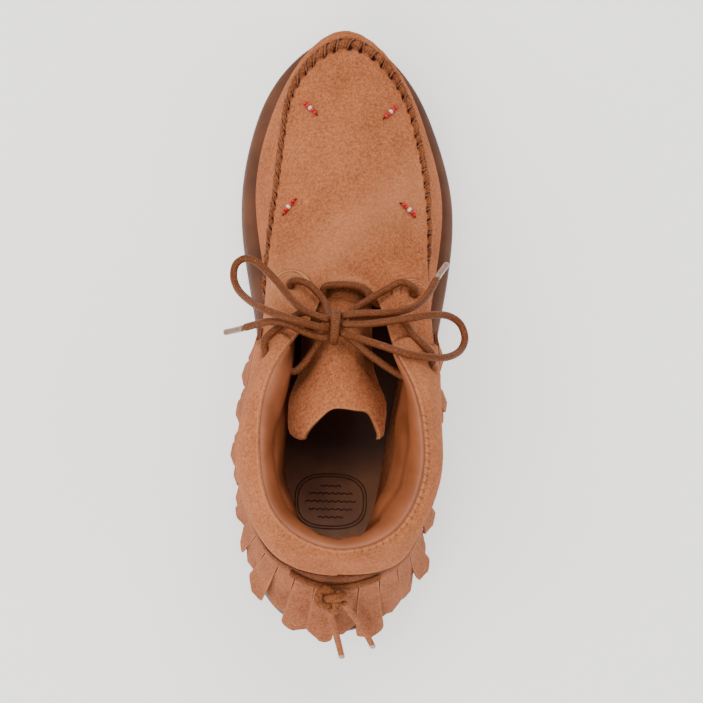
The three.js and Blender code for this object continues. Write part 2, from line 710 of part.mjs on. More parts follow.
function makeFringe() {
  const perStrip = STRIP_CELLS + 1;
  const columns = FRINGE_STRIPS * perStrip;
  const bandShare = FRINGE_BAND / FRINGE_LENGTH;
  const shares = [0, bandShare];
  for (let k = 1; k <= STRIP_STEPS; k++) shares.push(mix(bandShare, 1, k / STRIP_STEPS));
  const pitch = (2 * FRINGE_END) / FRINGE_STRIPS;
  const slit = (FRINGE_SLIT / FRINGE_PITCH) * pitch;
  const face = (out) => (c, r) => {
    const strip = Math.floor(c / perStrip);
    const across = (c % perStrip) / STRIP_CELLS;
    const low = smooth(1, shares.length - 1, r);
    const edge = Math.abs(2 * across - 1);
    const narrow = r === shares.length - 1 ? 0.24 : 0;
    const inStrip = mix(0.5 + (across - 0.5) * (1 - 2 * narrow), across, r < shares.length - 1 ? 1 : 0);
    const turn = -FRINGE_END + strip * pitch + slit / 2 + inStrip * (pitch - slit);
    const curl = low * FRINGE_CURL * (1 - edge) + low * FRINGE_TWIST * Math.sin(3.7 * strip) * (across - 0.5);
    return skirt(turn, shares[r], out + curl, mix(1, stripLift(strip), low));
  };
  const isThere = (c, r) => r < 1 || c % perStrip !== STRIP_CELLS;
  return sheetGeometry(columns, shares.length, face(0), face(FRINGE_THICKNESS), isThere);
}

// Cords: plain tubes along smooth curves
function tube(points, diameter, step = 2) {
  const SIDES = 8;
  const path = new THREE.CatmullRomCurve3(points, false, "centripetal");
  const steps = Math.min(80, Math.ceil(path.getLength() / (step * diameter)));
  const profile = new THREE.Shape(
    Array.from({ length: SIDES }, (_, i) => {
      const angle = (2 * Math.PI * i) / SIDES;
      return new THREE.Vector2(0.5 * diameter * Math.cos(angle), 0.5 * diameter * Math.sin(angle));
    }),
  );
  return new THREE.ExtrudeGeometry(profile, { steps, extrudePath: path, bevelEnabled: false });
}

// The bow's knot stands over the tongue in front of the flaps; up is from the floor.
const BOW_KNOT = new THREE.Vector3(-0.056 * BALL_WIDTH, 0.442 * LENGTH, 1.31 * INSTEP_HEIGHT);

function fromKnot({ out, fore, up }) {
  return new THREE.Vector3(out, fore, up).multiplyScalar(BOW_REACH).add(BOW_KNOT);
}

// The bow's routes from the knot, in shares of BOW_REACH.
const LOOP_LEFT = [
  { out: -0.038, fore: 0.06, up: 0.0 },
  { out: -0.13, fore: 0.083, up: 0.015 },
  { out: -0.235, fore: 0.138, up: -0.025 },
  { out: -0.334, fore: 0.241, up: -0.1 },
  { out: -0.425, fore: 0.365, up: -0.17 },
  { out: -0.525, fore: 0.481, up: -0.22 },
  { out: -0.609, fore: 0.554, up: -0.26 },
  { out: -0.685, fore: 0.572, up: -0.28 },
  { out: -0.745, fore: 0.528, up: -0.285 },
  { out: -0.762, fore: 0.441, up: -0.28 },
  { out: -0.733, fore: 0.335, up: -0.23 },
  { out: -0.647, fore: 0.218, up: -0.1 },
  { out: -0.519, fore: 0.112, up: 0.07 },
  { out: -0.332, fore: 0.034, up: 0.15 },
  { out: -0.16, fore: 0.0, up: 0.08 },
  { out: -0.037, fore: -0.008, up: 0.0 },
];
const LOOP_RIGHT = [
  { out: 0.037, fore: 0.032, up: 0.0 },
  { out: 0.188, fore: 0.028, up: 0.025 },
  { out: 0.371, fore: 0.045, up: 0.06 },
  { out: 0.56, fore: 0.079, up: 0.07 },
  { out: 0.733, fore: 0.121, up: -0.01 },
  { out: 0.869, fore: 0.134, up: -0.12 },
  { out: 0.956, fore: 0.085, up: -0.17 },
  { out: 0.99, fore: -0.014, up: -0.17 },
  { out: 0.957, fore: -0.114, up: -0.11 },
  { out: 0.849, fore: -0.2, up: 0.03 },
  { out: 0.706, fore: -0.229, up: 0.15 },
  { out: 0.513, fore: -0.217, up: 0.22 },
  { out: 0.342, fore: -0.163, up: 0.21 },
  { out: 0.184, fore: -0.094, up: 0.1 },
  { out: 0.037, fore: -0.033, up: 0.0 },
];
const END_RIGHT = [
  { out: 0.037, fore: 0.095, up: -0.017 },
  { out: 0.189, fore: 0.118, up: -0.01 },
  { out: 0.371, fore: 0.125, up: -0.005 },
  { out: 0.54, fore: 0.165, up: -0.05 },
  { out: 0.659, fore: 0.246, up: -0.14 },
  { out: 0.741, fore: 0.371, up: -0.24 },
  { out: 0.8, fore: 0.485, up: -0.32 },
  { out: 0.874, fore: 0.598, up: -0.383 },
];
const END_LEFT = [
  { out: -0.035, fore: -0.073, up: -0.017 },
  { out: -0.14, fore: -0.064, up: 0.01 },
  { out: -0.25, fore: -0.033, up: 0.045 },
  { out: -0.363, fore: 0.012, up: 0.07 },
  { out: -0.48, fore: 0.03, up: 0.04 },
  { out: -0.591, fore: 0.024, up: -0.07 },
  { out: -0.702, fore: 0.01, up: -0.18 },
  { out: -0.822, fore: -0.007, up: -0.26 },
];

// An end's route is shared between the lace itself and its tip.
function endParts(route) {
  const path = new THREE.CatmullRomCurve3(route.map(fromKnot), false, "centripetal");
  const length = path.getLength();
  const between = (from, to, count) =>
    Array.from({ length: count }, (_, i) => path.getPointAt(mix(from, to, i / (count - 1)) / length));
  const lace = between(0, length - TIP_LENGTH - CLEARANCE, 8);
  const tip = between(length - TIP_LENGTH, length, 3);
  return { lace: tube(lace, LACE_DIAMETER), tip: tube(tip, TIP_DIAMETER) };
}

// The knot's wrap goes over the strands, from behind them to in front.
function makeKnot() {
  const KNOT_HALF = 2.05;
  const KNOT_RISE = 1.3;
  const arc = Array.from({ length: 9 }, (_, i) => {
    const angle = Math.PI * (i / 8);
    const fore = KNOT_HALF * LACE_DIAMETER * Math.cos(angle);
    const up = KNOT_RISE * LACE_DIAMETER * Math.sin(angle);
    return BOW_KNOT.clone().add(new THREE.Vector3(0, fore + 0.5, up));
  });
  return tube(arc, LACE_DIAMETER, 0.6);
}

// One half of the tie: from the knot round the front of a flap, in through its eyelet, across the tongue,
// over the opposite tab and down through its eyelet. forward is towards the toe along the flap's edge.
function tieHalf(flap, tab, side, crossingUp) {
  const lift = 0.5 * LACE_DIAMETER + 3 * CLEARANCE;
  const flapTurn = flap.turn > ROWS ? flap.turn - TURN : flap.turn;
  const behind = UPPER_WALL + 2 * CLEARANCE + cuffPad(flapTurn, 0.8) + 0.8 * LACE_DIAMETER;
  const along = (place, turnBy, levelBy, out) =>
    onSkin({ turn: place.turn + side * turnBy, level: place.level + levelBy }, out);
  const crossing = BOW_KNOT.clone().add(new THREE.Vector3(0, 0.9 * LACE_DIAMETER, -crossingUp * LACE_DIAMETER));
  return [
    BOW_KNOT.clone().add(new THREE.Vector3(side * 1.7 * LACE_DIAMETER, 1.1 * LACE_DIAMETER, -LACE_DIAMETER)),
    along(flap, 1.15, 0.13, lift + 1.2),
    along(flap, 0.6, 0.07, lift + 0.6),
    along(flap, 0.16, 0.02, lift + BAND_STEP),
    along(flap, 0, 0, 0.6),
    along(flap, 0, 0, -0.5 * behind),
    along(flap, 0, 0, -behind),
    crossing,
    along(tab, -0.75, 0.155, lift + TAB_THICKNESS + 0.6),
    along(tab, -0.3, 0.07, lift + TAB_THICKNESS + 0.9),
    along(tab, 0, 0, 0.8 * LACE_DIAMETER),
    along(tab, 0, 0, -UPPER_WALL),
    along(tab, 0, 0, -1.6 * UPPER_WALL),
  ];
}

function makeLaceBars() {
  const lateral = tieHalf(EYELETS.flapLateral, EYELETS.tabMedial, 1, 1.9);
  const medial = tieHalf(EYELETS.flapMedial, EYELETS.tabLateral, -1, 2.8);
  const throat = topLine(ROWS);
  const under = 0.8 * LACE_DIAMETER;
  const BAR_REACH = 4.2;
  const bar = [
    lateral[lateral.length - 2],
    onSkin(EYELETS.tabMedial, -2.1 * UPPER_WALL),
    topLine(ROWS + 1.8).add(new THREE.Vector3(0, 0, -UPPER_WALL - under)),
    topLine(ROWS + 1).add(new THREE.Vector3(1.2, -BAR_REACH, -0.1 * LACE_DIAMETER)),
    throat.clone().add(new THREE.Vector3(-1, -BAR_REACH, 0.3 * LACE_DIAMETER)),
    topLine(ROWS - 1).add(new THREE.Vector3(-1.2, -BAR_REACH - 0.6, -0.1 * LACE_DIAMETER)),
    topLine(ROWS - 1.8).add(new THREE.Vector3(0, 0, -UPPER_WALL - under)),
    onSkin(EYELETS.tabLateral, -2.1 * UPPER_WALL),
    medial[medial.length - 2],
  ];
  return joined([lateral, medial, bar].map((route) => tube(route, LACE_DIAMETER, 1.3)));
}

// Thong: a flat strap over the fringe's band behind the collar, an overhand knot, and two hanging ends.
function makeThong() {
  const STEPS = 14;
  const THONG_REACH = 0.8;
  const seat = FRINGE_THICKNESS + 2 * CLEARANCE;
  const face = (out) => (c, r) => {
    const across = (2 * c) / STEPS - 1;
    const share = mix(0.15, 0.015, Math.abs(across) ** 1.5) + (r * THONG_WIDTH) / FRINGE_LENGTH;
    return skirt(across * THONG_REACH - 0.06, share, out);
  };
  return sheetGeometry(STEPS + 1, 2, face(seat), face(seat + THONG_THICKNESS));
}

const thongCentre = skirt(-0.06, 0.15 + (0.5 * THONG_WIDTH) / FRINGE_LENGTH, FRINGE_THICKNESS);

function makeThongKnot() {
  const WRAPS = 2.2;
  const cord = 0.9 * THONG_WIDTH;
  const coil = 0.62 * cord;
  const out = FRINGE_THICKNESS + THONG_THICKNESS + 2.4 * CLEARANCE + coil + 0.5 * cord;
  const centre = skirt(-0.06, 0.15, out);
  const points = Array.from({ length: 23 }, (_, i) => {
    const share = i / 22;
    const angle = 2 * Math.PI * WRAPS * share;
    const side = (share - 0.5) * WRAPS * 1.12 * cord;
    return centre.clone().add(new THREE.Vector3(side, coil * Math.cos(angle), coil * Math.sin(angle)));
  });
  return tube(points, cord, 0.45);
}

// The thong's ends, in shares of FRINGE_LENGTH from the middle of the strap.
const THONG_END_LEFT = [
  { out: -0.03, fore: -0.125, up: 0.007 },
  { out: 0.0, fore: -0.21, up: -0.25 },
  { out: 0.06, fore: -0.36, up: -0.54 },
  { out: 0.11, fore: -0.5, up: -0.74 },
];
const THONG_END_RIGHT = [
  { out: 0.075, fore: -0.12, up: 0.009 },
  { out: 0.15, fore: -0.19, up: -0.22 },
  { out: 0.26, fore: -0.31, up: -0.46 },
  { out: 0.34, fore: -0.42, up: -0.66 },
];

function thongEnd(route) {
  const points = route.map(({ out, fore, up }) =>
    new THREE.Vector3(out, fore, up).multiplyScalar(FRINGE_LENGTH).add(thongCentre),
  );
  return tube(points, 0.75 * THONG_WIDTH);
}

// Bead stitches on the vamp: five glass beads in a row on a thread, in pairs that mirror each other.
const BEAD_STITCHES = [
  { turn: 10.83, level: 0.544, slant: -48 },
  { turn: 9.05, level: 0.528, slant: 48 },
  { turn: 12.41, level: 0.685, slant: 50 },
  { turn: 7.73, level: 0.708, slant: -36 },
];

function makeBeadStitch({ turn, level, slant }) {
  const lift = CLEARANCE + 0.62 * BEAD_DIAMETER;
  const angle = THREE.MathUtils.degToRad(slant);
  const at = (along) =>
    onSkin(moveInPlan({ turn, level }, along * Math.cos(angle), along * Math.sin(angle)), lift);
  const half = ((BEADS_IN_ROW - 1) / 2) * BEAD_LENGTH;
  const way = at(half).sub(at(-half)).normalize();
  const facing = new THREE.Quaternion().setFromUnitVectors(new THREE.Vector3(0, 1, 0), way);
  const beads = Array.from({ length: BEADS_IN_ROW }, (_, i) => {
    const bead = new THREE.SphereGeometry(BEAD_DIAMETER / 2, 8, 4);
    const centre = at(i * BEAD_LENGTH - half);
    return bead.scale(1, 0.86, 1).applyQuaternion(facing).translate(centre.x, centre.y, centre.z);
  });
  const thread = tube([at(-1.4 * half), at(0), at(1.4 * half)], 0.4 * BEAD_DIAMETER);
  return joined([thread, ...beads]);
}

addPiece("outsole", makeOutsole(), OUTSOLE_RUBBER);
addPiece("midsole", makeMidsole(), MIDSOLE_FOAM);
addPiece("insole", makeInsole(), INSOLE_LEATHER);
addPiece("upper", makeUpper(), SUEDE);
addPiece("collar_cuff", makeCuff(), LINING_LEATHER);
addPiece("tongue", makeTongue(), SUEDE);
addPiece("fringe", makeFringe(), SUEDE);

addPiece("lace_bars", makeLaceBars(), WAXED_LACE);
addPiece("lace_knot", makeKnot(), WAXED_LACE, true);
addPiece("lace_loop_left", tube(LOOP_LEFT.map(fromKnot), LACE_DIAMETER), WAXED_LACE, true);
addPiece("lace_loop_right", tube(LOOP_RIGHT.map(fromKnot), LACE_DIAMETER), WAXED_LACE, true);
for (const [side, route] of [["left", END_LEFT], ["right", END_RIGHT]]) {
  const { lace, tip } = endParts(route);
  addPiece(`lace_end_${side}`, lace, WAXED_LACE, true);
  addPiece(`lace_tip_${side}`, tip, CLEAR_TIP, true);
}

addPiece("heel_thong", makeThong(), SUEDE);
addPiece("heel_thong_knot", makeThongKnot(), SUEDE, true);
addPiece("heel_thong_end_left", thongEnd(THONG_END_LEFT), SUEDE, true);
addPiece("heel_thong_end_right", thongEnd(THONG_END_RIGHT), SUEDE, true);

BEAD_STITCHES.forEach((stitch, i) => addPiece(`bead_stitch_${i + 1}`, makeBeadStitch(stitch), RED_GLASS));

// The origin goes to the middle of the boot's footprint, on the floor; loose cords don't count.
const footprint = new THREE.Box3();
for (const piece of boot.children) if (!looseCords.has(piece)) footprint.expandByObject(piece);
const middle = footprint.getCenter(new THREE.Vector3());
for (const piece of boot.children) piece.geometry.translate(-middle.x, -middle.y, -footprint.min.z);

export default boot;
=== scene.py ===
"""Dresses the solids of a fringed suede moccasin boot for the right foot, and sets up its studio.

Lengths inside the shape functions are millimetres, measured from the heel end of the sole on the floor:
x to the outer (lateral) side, y towards the toe, z up. make_mesh turns them into the row's frame, in metres.
"""
import math

import bpy
import numpy as np
from mathutils import Matrix, Vector


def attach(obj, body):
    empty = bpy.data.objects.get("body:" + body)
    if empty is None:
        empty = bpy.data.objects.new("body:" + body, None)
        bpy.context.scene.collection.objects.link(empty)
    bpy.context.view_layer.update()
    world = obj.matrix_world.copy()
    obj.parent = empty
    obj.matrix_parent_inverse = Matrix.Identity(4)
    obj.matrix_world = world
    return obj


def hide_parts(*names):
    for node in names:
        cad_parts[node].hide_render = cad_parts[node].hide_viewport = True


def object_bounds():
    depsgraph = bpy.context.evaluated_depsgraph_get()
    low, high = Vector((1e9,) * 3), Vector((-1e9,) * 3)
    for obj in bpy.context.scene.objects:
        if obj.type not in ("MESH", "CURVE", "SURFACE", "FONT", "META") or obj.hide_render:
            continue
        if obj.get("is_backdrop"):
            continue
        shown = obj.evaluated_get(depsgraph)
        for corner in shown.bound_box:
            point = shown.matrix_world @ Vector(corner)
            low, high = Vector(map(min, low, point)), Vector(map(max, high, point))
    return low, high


bl_info = {
    "name": "Fringed moccasin boot",
    "version": (1, 0, 0),
    "blender": (4, 5, 0),
    "location": "3D View > Sidebar > Boot",
    "description": "Makes the suede, linings, laces, fringe and sole of a moccasin boot round its solids",
    "category": "Object",
}

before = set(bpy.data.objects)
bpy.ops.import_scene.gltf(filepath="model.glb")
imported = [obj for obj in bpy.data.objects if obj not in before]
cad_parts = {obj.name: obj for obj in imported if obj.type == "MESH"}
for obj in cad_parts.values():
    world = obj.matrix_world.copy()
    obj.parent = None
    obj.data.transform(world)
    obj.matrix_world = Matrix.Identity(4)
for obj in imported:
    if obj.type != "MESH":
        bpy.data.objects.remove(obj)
CAD_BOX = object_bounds()

# Where the middle of the footprint lies, from the heel end of the sole
FOOTPRINT_MIDDLE = np.array([3.4243, 144.8769, 0.0])

# The last and the sole
LENGTH = 296
BALL_WIDTH = 106
SEAM_HEIGHT = 50
INSTEP_HEIGHT = 84
COLLAR_HEIGHT = 127
HEEL_STACK = 33
BALL_STACK = 23
TOE_SPRING = 12
ARCH_RISE = 3
HEEL_BEVEL = 4
OUTSOLE_THICKNESS = 5
OUTSOLE_WALL = 1.8
OUTSOLE_LIP = 1.6
HEEL_WRAP_HEIGHT = 19
TREAD_DEPTH = 2.2
TREAD_GROOVE = 3
TREAD_PITCH = 13
SOLE_FLANGE = 7.2
INSOLE_THICKNESS = 4
FLAT_SPOTS = ((0.07, 0.25), (0.52, 0.76))

# The upper and its trim
UPPER_WALL = 2.2
BAND_STEP = 2
BAND_LEVEL = 0.66
RIDGE_LEVEL = 0.372
LINING_PAD = 11
TAB_RADIUS = 9.5
TONGUE_THICKNESS = 2.4
FRINGE_THICKNESS = 1.4
FRINGE_LENGTH = 62
FRINGE_STRIPS = 30
FRINGE_PITCH = 9.4
FRINGE_SLIT = 1
FRINGE_BAND = 11
FRINGE_END = 5.55
LACE_DIAMETER = 3.4
TIP_LENGTH = 11
TIP_DIAMETER = 2.9
THONG_WIDTH = 4.6
THONG_THICKNESS = 2
BEAD_DIAMETER = 2.3
BEAD_LENGTH = 1.55
BOW_REACH = 60
CLEARANCE = 0.3

# Lines round the boot, a row for each of eleven sections from heel to toe: share of LENGTH from the heel,
# lateral and medial shares of BALL_WIDTH from the centreline, and a share of the line's own height.
SOLE_EDGE = (
    (0.0, 0.0, 0.0, 0), (0.047, 0.287, -0.285, 0), (0.155, 0.385, -0.38, 0), (0.27, 0.4, -0.366, 0),
    (0.385, 0.42, -0.351, 0), (0.5, 0.472, -0.377, 0), (0.613, 0.523, -0.434, 0), (0.726, 0.53, -0.461, 0),
    (0.838, 0.448, -0.412, 0), (0.9375, 0.297, -0.278, 0), (1.0, 0.009, 0.009, 0),
)
WALL_LINE = (
    (0.029, -0.005, -0.005, 0.9), (0.068, 0.24, -0.25, 0.95), (0.159, 0.34, -0.345, 0.9),
    (0.27, 0.345, -0.33, 0.88), (0.385, 0.36, -0.302, 0.85), (0.5, 0.401, -0.318, 0.8),
    (0.608, 0.443, -0.363, 0.76), (0.713, 0.458, -0.39, 0.74), (0.814, 0.392, -0.354, 0.75),
    (0.918, 0.262, -0.238, 0.77), (0.99, 0.0, 0.0, 0.8),
)
SEAM_LINE = (
    (0.061, -0.015, -0.015, 1.45), (0.088, 0.19, -0.215, 1.45), (0.166, 0.27, -0.305, 1.45),
    (0.27, 0.275, -0.325, 1.42), (0.385, 0.315, -0.325, 1.34), (0.507, 0.352, -0.34, 1.25),
    (0.608, 0.379, -0.335, 1.17), (0.713, 0.377, -0.307, 1.11), (0.811, 0.33, -0.281, 1.06),
    (0.902, 0.235, -0.215, 1.02), (0.963, 0.01, 0.01, 1.0),
)
CROWN_LINE = (
    (0.088, -0.019, -0.019, 0.46), (0.1, 0.195, -0.231, 0.47), (0.146, 0.31, -0.365, 0.49),
    (0.223, 0.375, -0.43, 0.51), (0.297, 0.385, -0.43, 0.53), (0.372, 0.38, -0.385, 0.48),
    (0.466, 0.34, -0.32, 0.24), (0.595, 0.3, -0.258, -0.3), (0.666, 0.255, -0.212, -0.4),
    (0.723, 0.17, -0.142, -0.41), (0.752, 0.014, 0.014, -0.415),
)
TOP_LINE = (
    (0.103, -0.019, -0.019, 0.9), (0.117, 0.145, -0.179, 0.91), (0.159, 0.265, -0.311, 0.93),
    (0.223, 0.322, -0.365, 0.96), (0.291, 0.315, -0.372, 0.99), (0.353, 0.27, -0.342, 0.98),
    (0.409, 0.198, -0.262, 0.77), (0.466, 0.165, -0.152, 0.28), (0.511, 0.132, -0.104, 0.01),
    (0.532, 0.08, -0.062, -0.01), (0.5365, 0.009, 0.009, 0.0),
)
# The collar pad's thickness round the boot, as a share of LINING_PAD: turn from the heel, lateral side positive
CUFF_ROUND = (
    (-6.1, 0.95), (-5, 1.1), (-3.5, 1.15), (-2, 1.2), (-1, 1.0), (0, 0.6), (1, 1.2), (2, 1.45), (3, 1.22),
    (4, 1.08), (5, 0.75), (6.1, 0.35),
)
ROWS = len(SOLE_EDGE) - 1
TURN = 2 * ROWS
# The levels at which the skin passes through its six lines, from the foot to the opening
LEVELS = (0, 0.18, 0.36, 0.45, 0.74, 1)
APRON_SHARE = 0.2
FOOT_TUCK = 1.5
# Each eyelet's turn and level
EYELETS = {
    "tab_lateral": (6.51, 0.796), "tab_medial": (TURN - 6.756, 0.846),
    "flap_lateral": (5.35, 0.82), "flap_medial": (TURN - 5.57, 0.844),
}


# Plain mathematics


def smooth(start, end, x):
    """An eased step from 0 at start to 1 at end: t squared times three minus two t."""
    t = np.clip((x - start) / (end - start), 0, 1)
    return t * t * (3 - 2 * t)


def mix(a, b, t):
    return a + (b - a) * t


def bump(x, width):
    """A bell curve of height one: e to the minus (x over width) squared."""
    return np.exp(-((x / width) ** 2))


def unit(v):
    return v / np.maximum(np.linalg.norm(v, axis=-1, keepdims=True), 1e-9)


def closed_spline(values):
    """A curve of continuous curvature through values at whole turns of a loop: a cubic between neighbours,
    whose second derivatives solve b(before) + 4 b + b(after) = 6 times the second difference."""
    values = np.asarray(values, float)
    n = len(values)
    one = np.eye(n)
    ring = 4 * one + np.roll(one, 1, 0) + np.roll(one, -1, 0)
    bend = np.linalg.solve(ring, 6 * (np.roll(values, -1) - 2 * values + np.roll(values, 1)))

    def at(turn):
        t = np.mod(turn, n)
        i = np.floor(t).astype(int) % n
        j = (i + 1) % n
        b = t - np.floor(t)
        a = 1 - b
        return a * values[i] + b * values[j] + ((a**3 - a) * bend[i] + (b**3 - b) * bend[j]) / 6

    return at


def open_spline(knots, values):
    """The same curve between given knots, with no bend at its two ends."""
    knots, values = np.asarray(knots, float), np.asarray(values, float)
    n, h = len(knots), np.diff(knots)
    system, rise = np.eye(n), np.zeros(n)
    for i in range(1, n - 1):
        system[i, i - 1 : i + 2] = h[i - 1], 2 * (h[i - 1] + h[i]), h[i]
        rise[i] = 6 * ((values[i + 1] - values[i]) / h[i] - (values[i] - values[i - 1]) / h[i - 1])
    bend = np.linalg.solve(system, rise)

    def at(x):
        i = np.clip(np.searchsorted(knots, x, side="left") - 1, 0, n - 2)
        b = (x - knots[i]) / h[i]
        a = 1 - b
        curve = ((a**3 - a) * bend[i] + (b**3 - b) * bend[i + 1]) * h[i] ** 2
        return a * values[i] + b * values[i + 1] + curve / 6

    return at


def line_round(table, height):
    """A line round the boot as a function of the turn: 0 at the heel, ROWS at the toe, lateral side first."""
    rows = [table[t if t <= ROWS else TURN - t] for t in range(TURN)]
    side = [row[1] if t <= ROWS else row[2] for t, row in enumerate(rows)]
    x = closed_spline([s * BALL_WIDTH for s in side])
    y = closed_spline([row[0] * LENGTH for row in rows])
    z = closed_spline([height(row[3]) for row in rows])
    return lambda turn: np.stack([x(turn), y(turn), z(turn)], -1)


def plain_normal(line, turn):
    """The outward direction of a line seen from above: its own direction turned by a right angle."""
    step = line(turn + 0.01) - line(turn - 0.01)
    return unit(np.stack([step[..., 1], -step[..., 0], 0 * step[..., 0]], -1))


# The boot's own surfaces

tread_height = open_spline(
    [s * LENGTH for s in (0, 0.07, 0.25, 0.4, 0.52, 0.76, 0.9, 1)],
    [HEEL_BEVEL, 0, 0, ARCH_RISE, 0, 0, 0.42 * TOE_SPRING, TOE_SPRING],
)
stack_height = open_spline(
    [s * LENGTH for s in (0, 0.2, 0.42, 0.68, 0.88, 1)],
    [HEEL_STACK, 0.9 * HEEL_STACK, mix(BALL_STACK, HEEL_STACK, 0.3), BALL_STACK, 1.06 * BALL_STACK,
     1.25 * BALL_STACK],
)


def on_flat_spot(y):
    share = y / LENGTH
    return sum(((share >= a) & (share <= b)).astype(float) for a, b in FLAT_SPOTS)


def tread_at(y):
    return np.where(on_flat_spot(y) > 0, 0.0, np.maximum(0, tread_height(y)))


def wrap_top_at(y):
    """The top of the rubber: a high wall round the heel that falls to a low lip along the forefoot."""
    low = tread_at(y) + OUTSOLE_THICKNESS + OUTSOLE_LIP
    high = tread_at(y) + OUTSOLE_THICKNESS + HEEL_WRAP_HEIGHT
    return mix(high, low, smooth(0.1 * LENGTH, 0.4 * LENGTH, y))


sole_edge = line_round(SOLE_EDGE, lambda up: 0)
wall_line = line_round(WALL_LINE, lambda up: up * SEAM_HEIGHT)
seam_line = line_round(SEAM_LINE, lambda up: up * SEAM_HEIGHT)
crown_line = line_round(CROWN_LINE, lambda up: mix(INSTEP_HEIGHT, COLLAR_HEIGHT, up))
top_line = line_round(TOP_LINE, lambda up: mix(INSTEP_HEIGHT, COLLAR_HEIGHT, up))
level_weights = [open_spline(LEVELS, row) for row in np.eye(len(LEVELS))]
cuff_thickness = open_spline(*zip(*CUFF_ROUND))


def foot_line(turn):
    foot = wall_line(turn) - FOOT_TUCK * plain_normal(wall_line, turn)
    foot[..., 2] = stack_height(foot[..., 1]) + CLEARANCE
    return foot


def skin(turn, level):
    """The upper's surface: the six lines at a turn, weighted by cubics of the level, each at its own line."""
    turn, level = np.asarray(turn, float), np.asarray(level, float)
    seam, crown = seam_line(turn), crown_line(turn)
    lines = (foot_line(turn), wall_line(turn), seam, mix(seam, crown, APRON_SHARE), crown, top_line(turn))
    return sum(weight(level)[..., None] * line for weight, line in zip(level_weights, lines))


def skin_normal(turn, level):
    d = 0.02
    low, high = np.maximum(0, np.asarray(level) - d), np.minimum(1, np.asarray(level) + d)
    around = skin(turn + d, level) - skin(turn - d, level)
    return unit(np.cross(around, skin(turn, high) - skin(turn, low)))


def off_skin(turn, level, out):
    return skin(turn, level) + skin_normal(turn, level) * np.asarray(out)[..., None]


def from_heel(turn):
    t = np.mod(turn, TURN)
    return np.minimum(t, TURN - t)


def near_plan(place, side, fore):
    """Turn and level of the point that lies side and fore from a place, seen from above, by Newton's steps."""
    turn = np.full(np.shape(side), float(place[0]))
    level = np.full(np.shape(side), float(place[1]))
    goal = skin(turn, level)[..., :2] + np.stack([side, fore], -1)
    for _ in range(6):
        d = 0.01
        here = skin(turn, level)
        by_turn, by_level = (skin(turn + d, level) - here) / d, (skin(turn, level + d) - here) / d
        gap = goal - here[..., :2]
        size = by_turn[..., 0] * by_level[..., 1] - by_turn[..., 1] * by_level[..., 0]
        turn = turn + (gap[..., 0] * by_level[..., 1] - gap[..., 1] * by_level[..., 0]) / size
        level = level + (gap[..., 1] * by_turn[..., 0] - gap[..., 0] * by_turn[..., 1]) / size
    return turn, level


def even_turns(count, level, start=0.0, end=TURN):
    """Turns that stand at equal steps of length along the surface at a level."""
    fine = np.linspace(start, end, 6000)
    line = skin(fine, level)
    length = run_along(line)
    return np.interp(np.linspace(0, length[-1], count), length, fine), length[-1]


# Meshes


SHARP_EDGE = math.radians(58)


def make_mesh(name, points, faces, material, marks=None):
    """A mesh object from points in millimetres; its faces are turned outwards by the sign of its volume."""
    points = np.asarray(points, float).reshape(-1, 3)
    faces = np.asarray(faces, int)
    tips = points[faces]
    fan = sum(
        np.einsum("ij,ij->i", tips[:, 0], np.cross(tips[:, k], tips[:, k + 1]))
        for k in range(1, faces.shape[1] - 1)
    )
    if fan.sum() < 0:
        faces = faces[:, ::-1]
    mesh = bpy.data.meshes.new(name)
    mesh.from_pydata(((points - FOOTPRINT_MIDDLE) / 1000).tolist(), [], faces.tolist())
    for mark, values in (marks or {}).items():
        values = np.asarray(values, np.float32)
        kind = "FLOAT" if values.size == len(points) else "FLOAT_VECTOR"
        layer = mesh.attributes.new(mark, kind, "POINT")
        layer.data.foreach_set("value" if kind == "FLOAT" else "vector", values.ravel())
    mesh.polygons.foreach_set("use_smooth", [True] * len(faces))
    mesh.set_sharp_from_angle(angle=SHARP_EDGE)
    mesh.materials.append(material)
    piece = bpy.data.objects.new(name, mesh)
    bpy.context.scene.collection.objects.link(piece)
    return piece


def dress(piece, slot, *nodes):
    """The piece moves with the boot and hides the solids that it stands for; slot is not used."""
    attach(piece, "root")
    if nodes:
        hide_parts(*nodes)
    return piece


def grid_faces(columns, rows, wrap_columns=False, wrap_rows=False, first=0):
    """Faces of a grid whose point (c, r) has the number c times rows plus r."""
    wide, high = columns if wrap_columns else columns - 1, rows if wrap_rows else rows - 1
    c, r = np.meshgrid(np.arange(wide), np.arange(high), indexing="ij")
    c, r = c.ravel(), r.ravel()
    c2, r2 = (c + 1) % columns, (r + 1) % rows
    return first + np.stack([c * rows + r, c2 * rows + r, c2 * rows + r2, c * rows + r2], -1)


def cap_faces(ring):
    """Closes a ring of an even number of points, each joined to the one that faces it."""
    half = len(ring) // 2
    i = np.arange(half - 1)
    return np.stack([ring[i], ring[i + 1], ring[len(ring) - 2 - i], ring[len(ring) - 1 - i]], -1)


def tube_faces(steps, sides, first=0):
    """Faces of a tube made of rings of an even number of points, closed at both ends."""
    numbers = first + np.arange(steps * sides).reshape(steps, sides)
    return np.concatenate([
        grid_faces(steps, sides, False, True, first), cap_faces(numbers[0])[:, ::-1], cap_faces(numbers[-1])])


def many_times(faces, count, points):
    """The same faces again for each of so many bodies with so many points."""
    return (faces[None] + (np.arange(count) * points)[:, None, None]).reshape(-1, 4)


def run_along(line):
    """Length along a line, or along each of several, up to each point."""
    gone = np.cumsum(np.linalg.norm(np.diff(line, axis=-2), axis=-1), -1)
    return np.concatenate([np.zeros(gone.shape[:-1] + (1,)), gone], -1)


def profile_piece(name, grid, material, closed, marks=None):
    """A closed body from a grid whose rows are loops: closed round the boot, or capped at its two ends."""
    columns, rows = grid.shape[:2]
    faces = grid_faces(columns, rows, True, True) if closed else tube_faces(columns, rows)
    return make_mesh(name, grid, faces, material, marks)


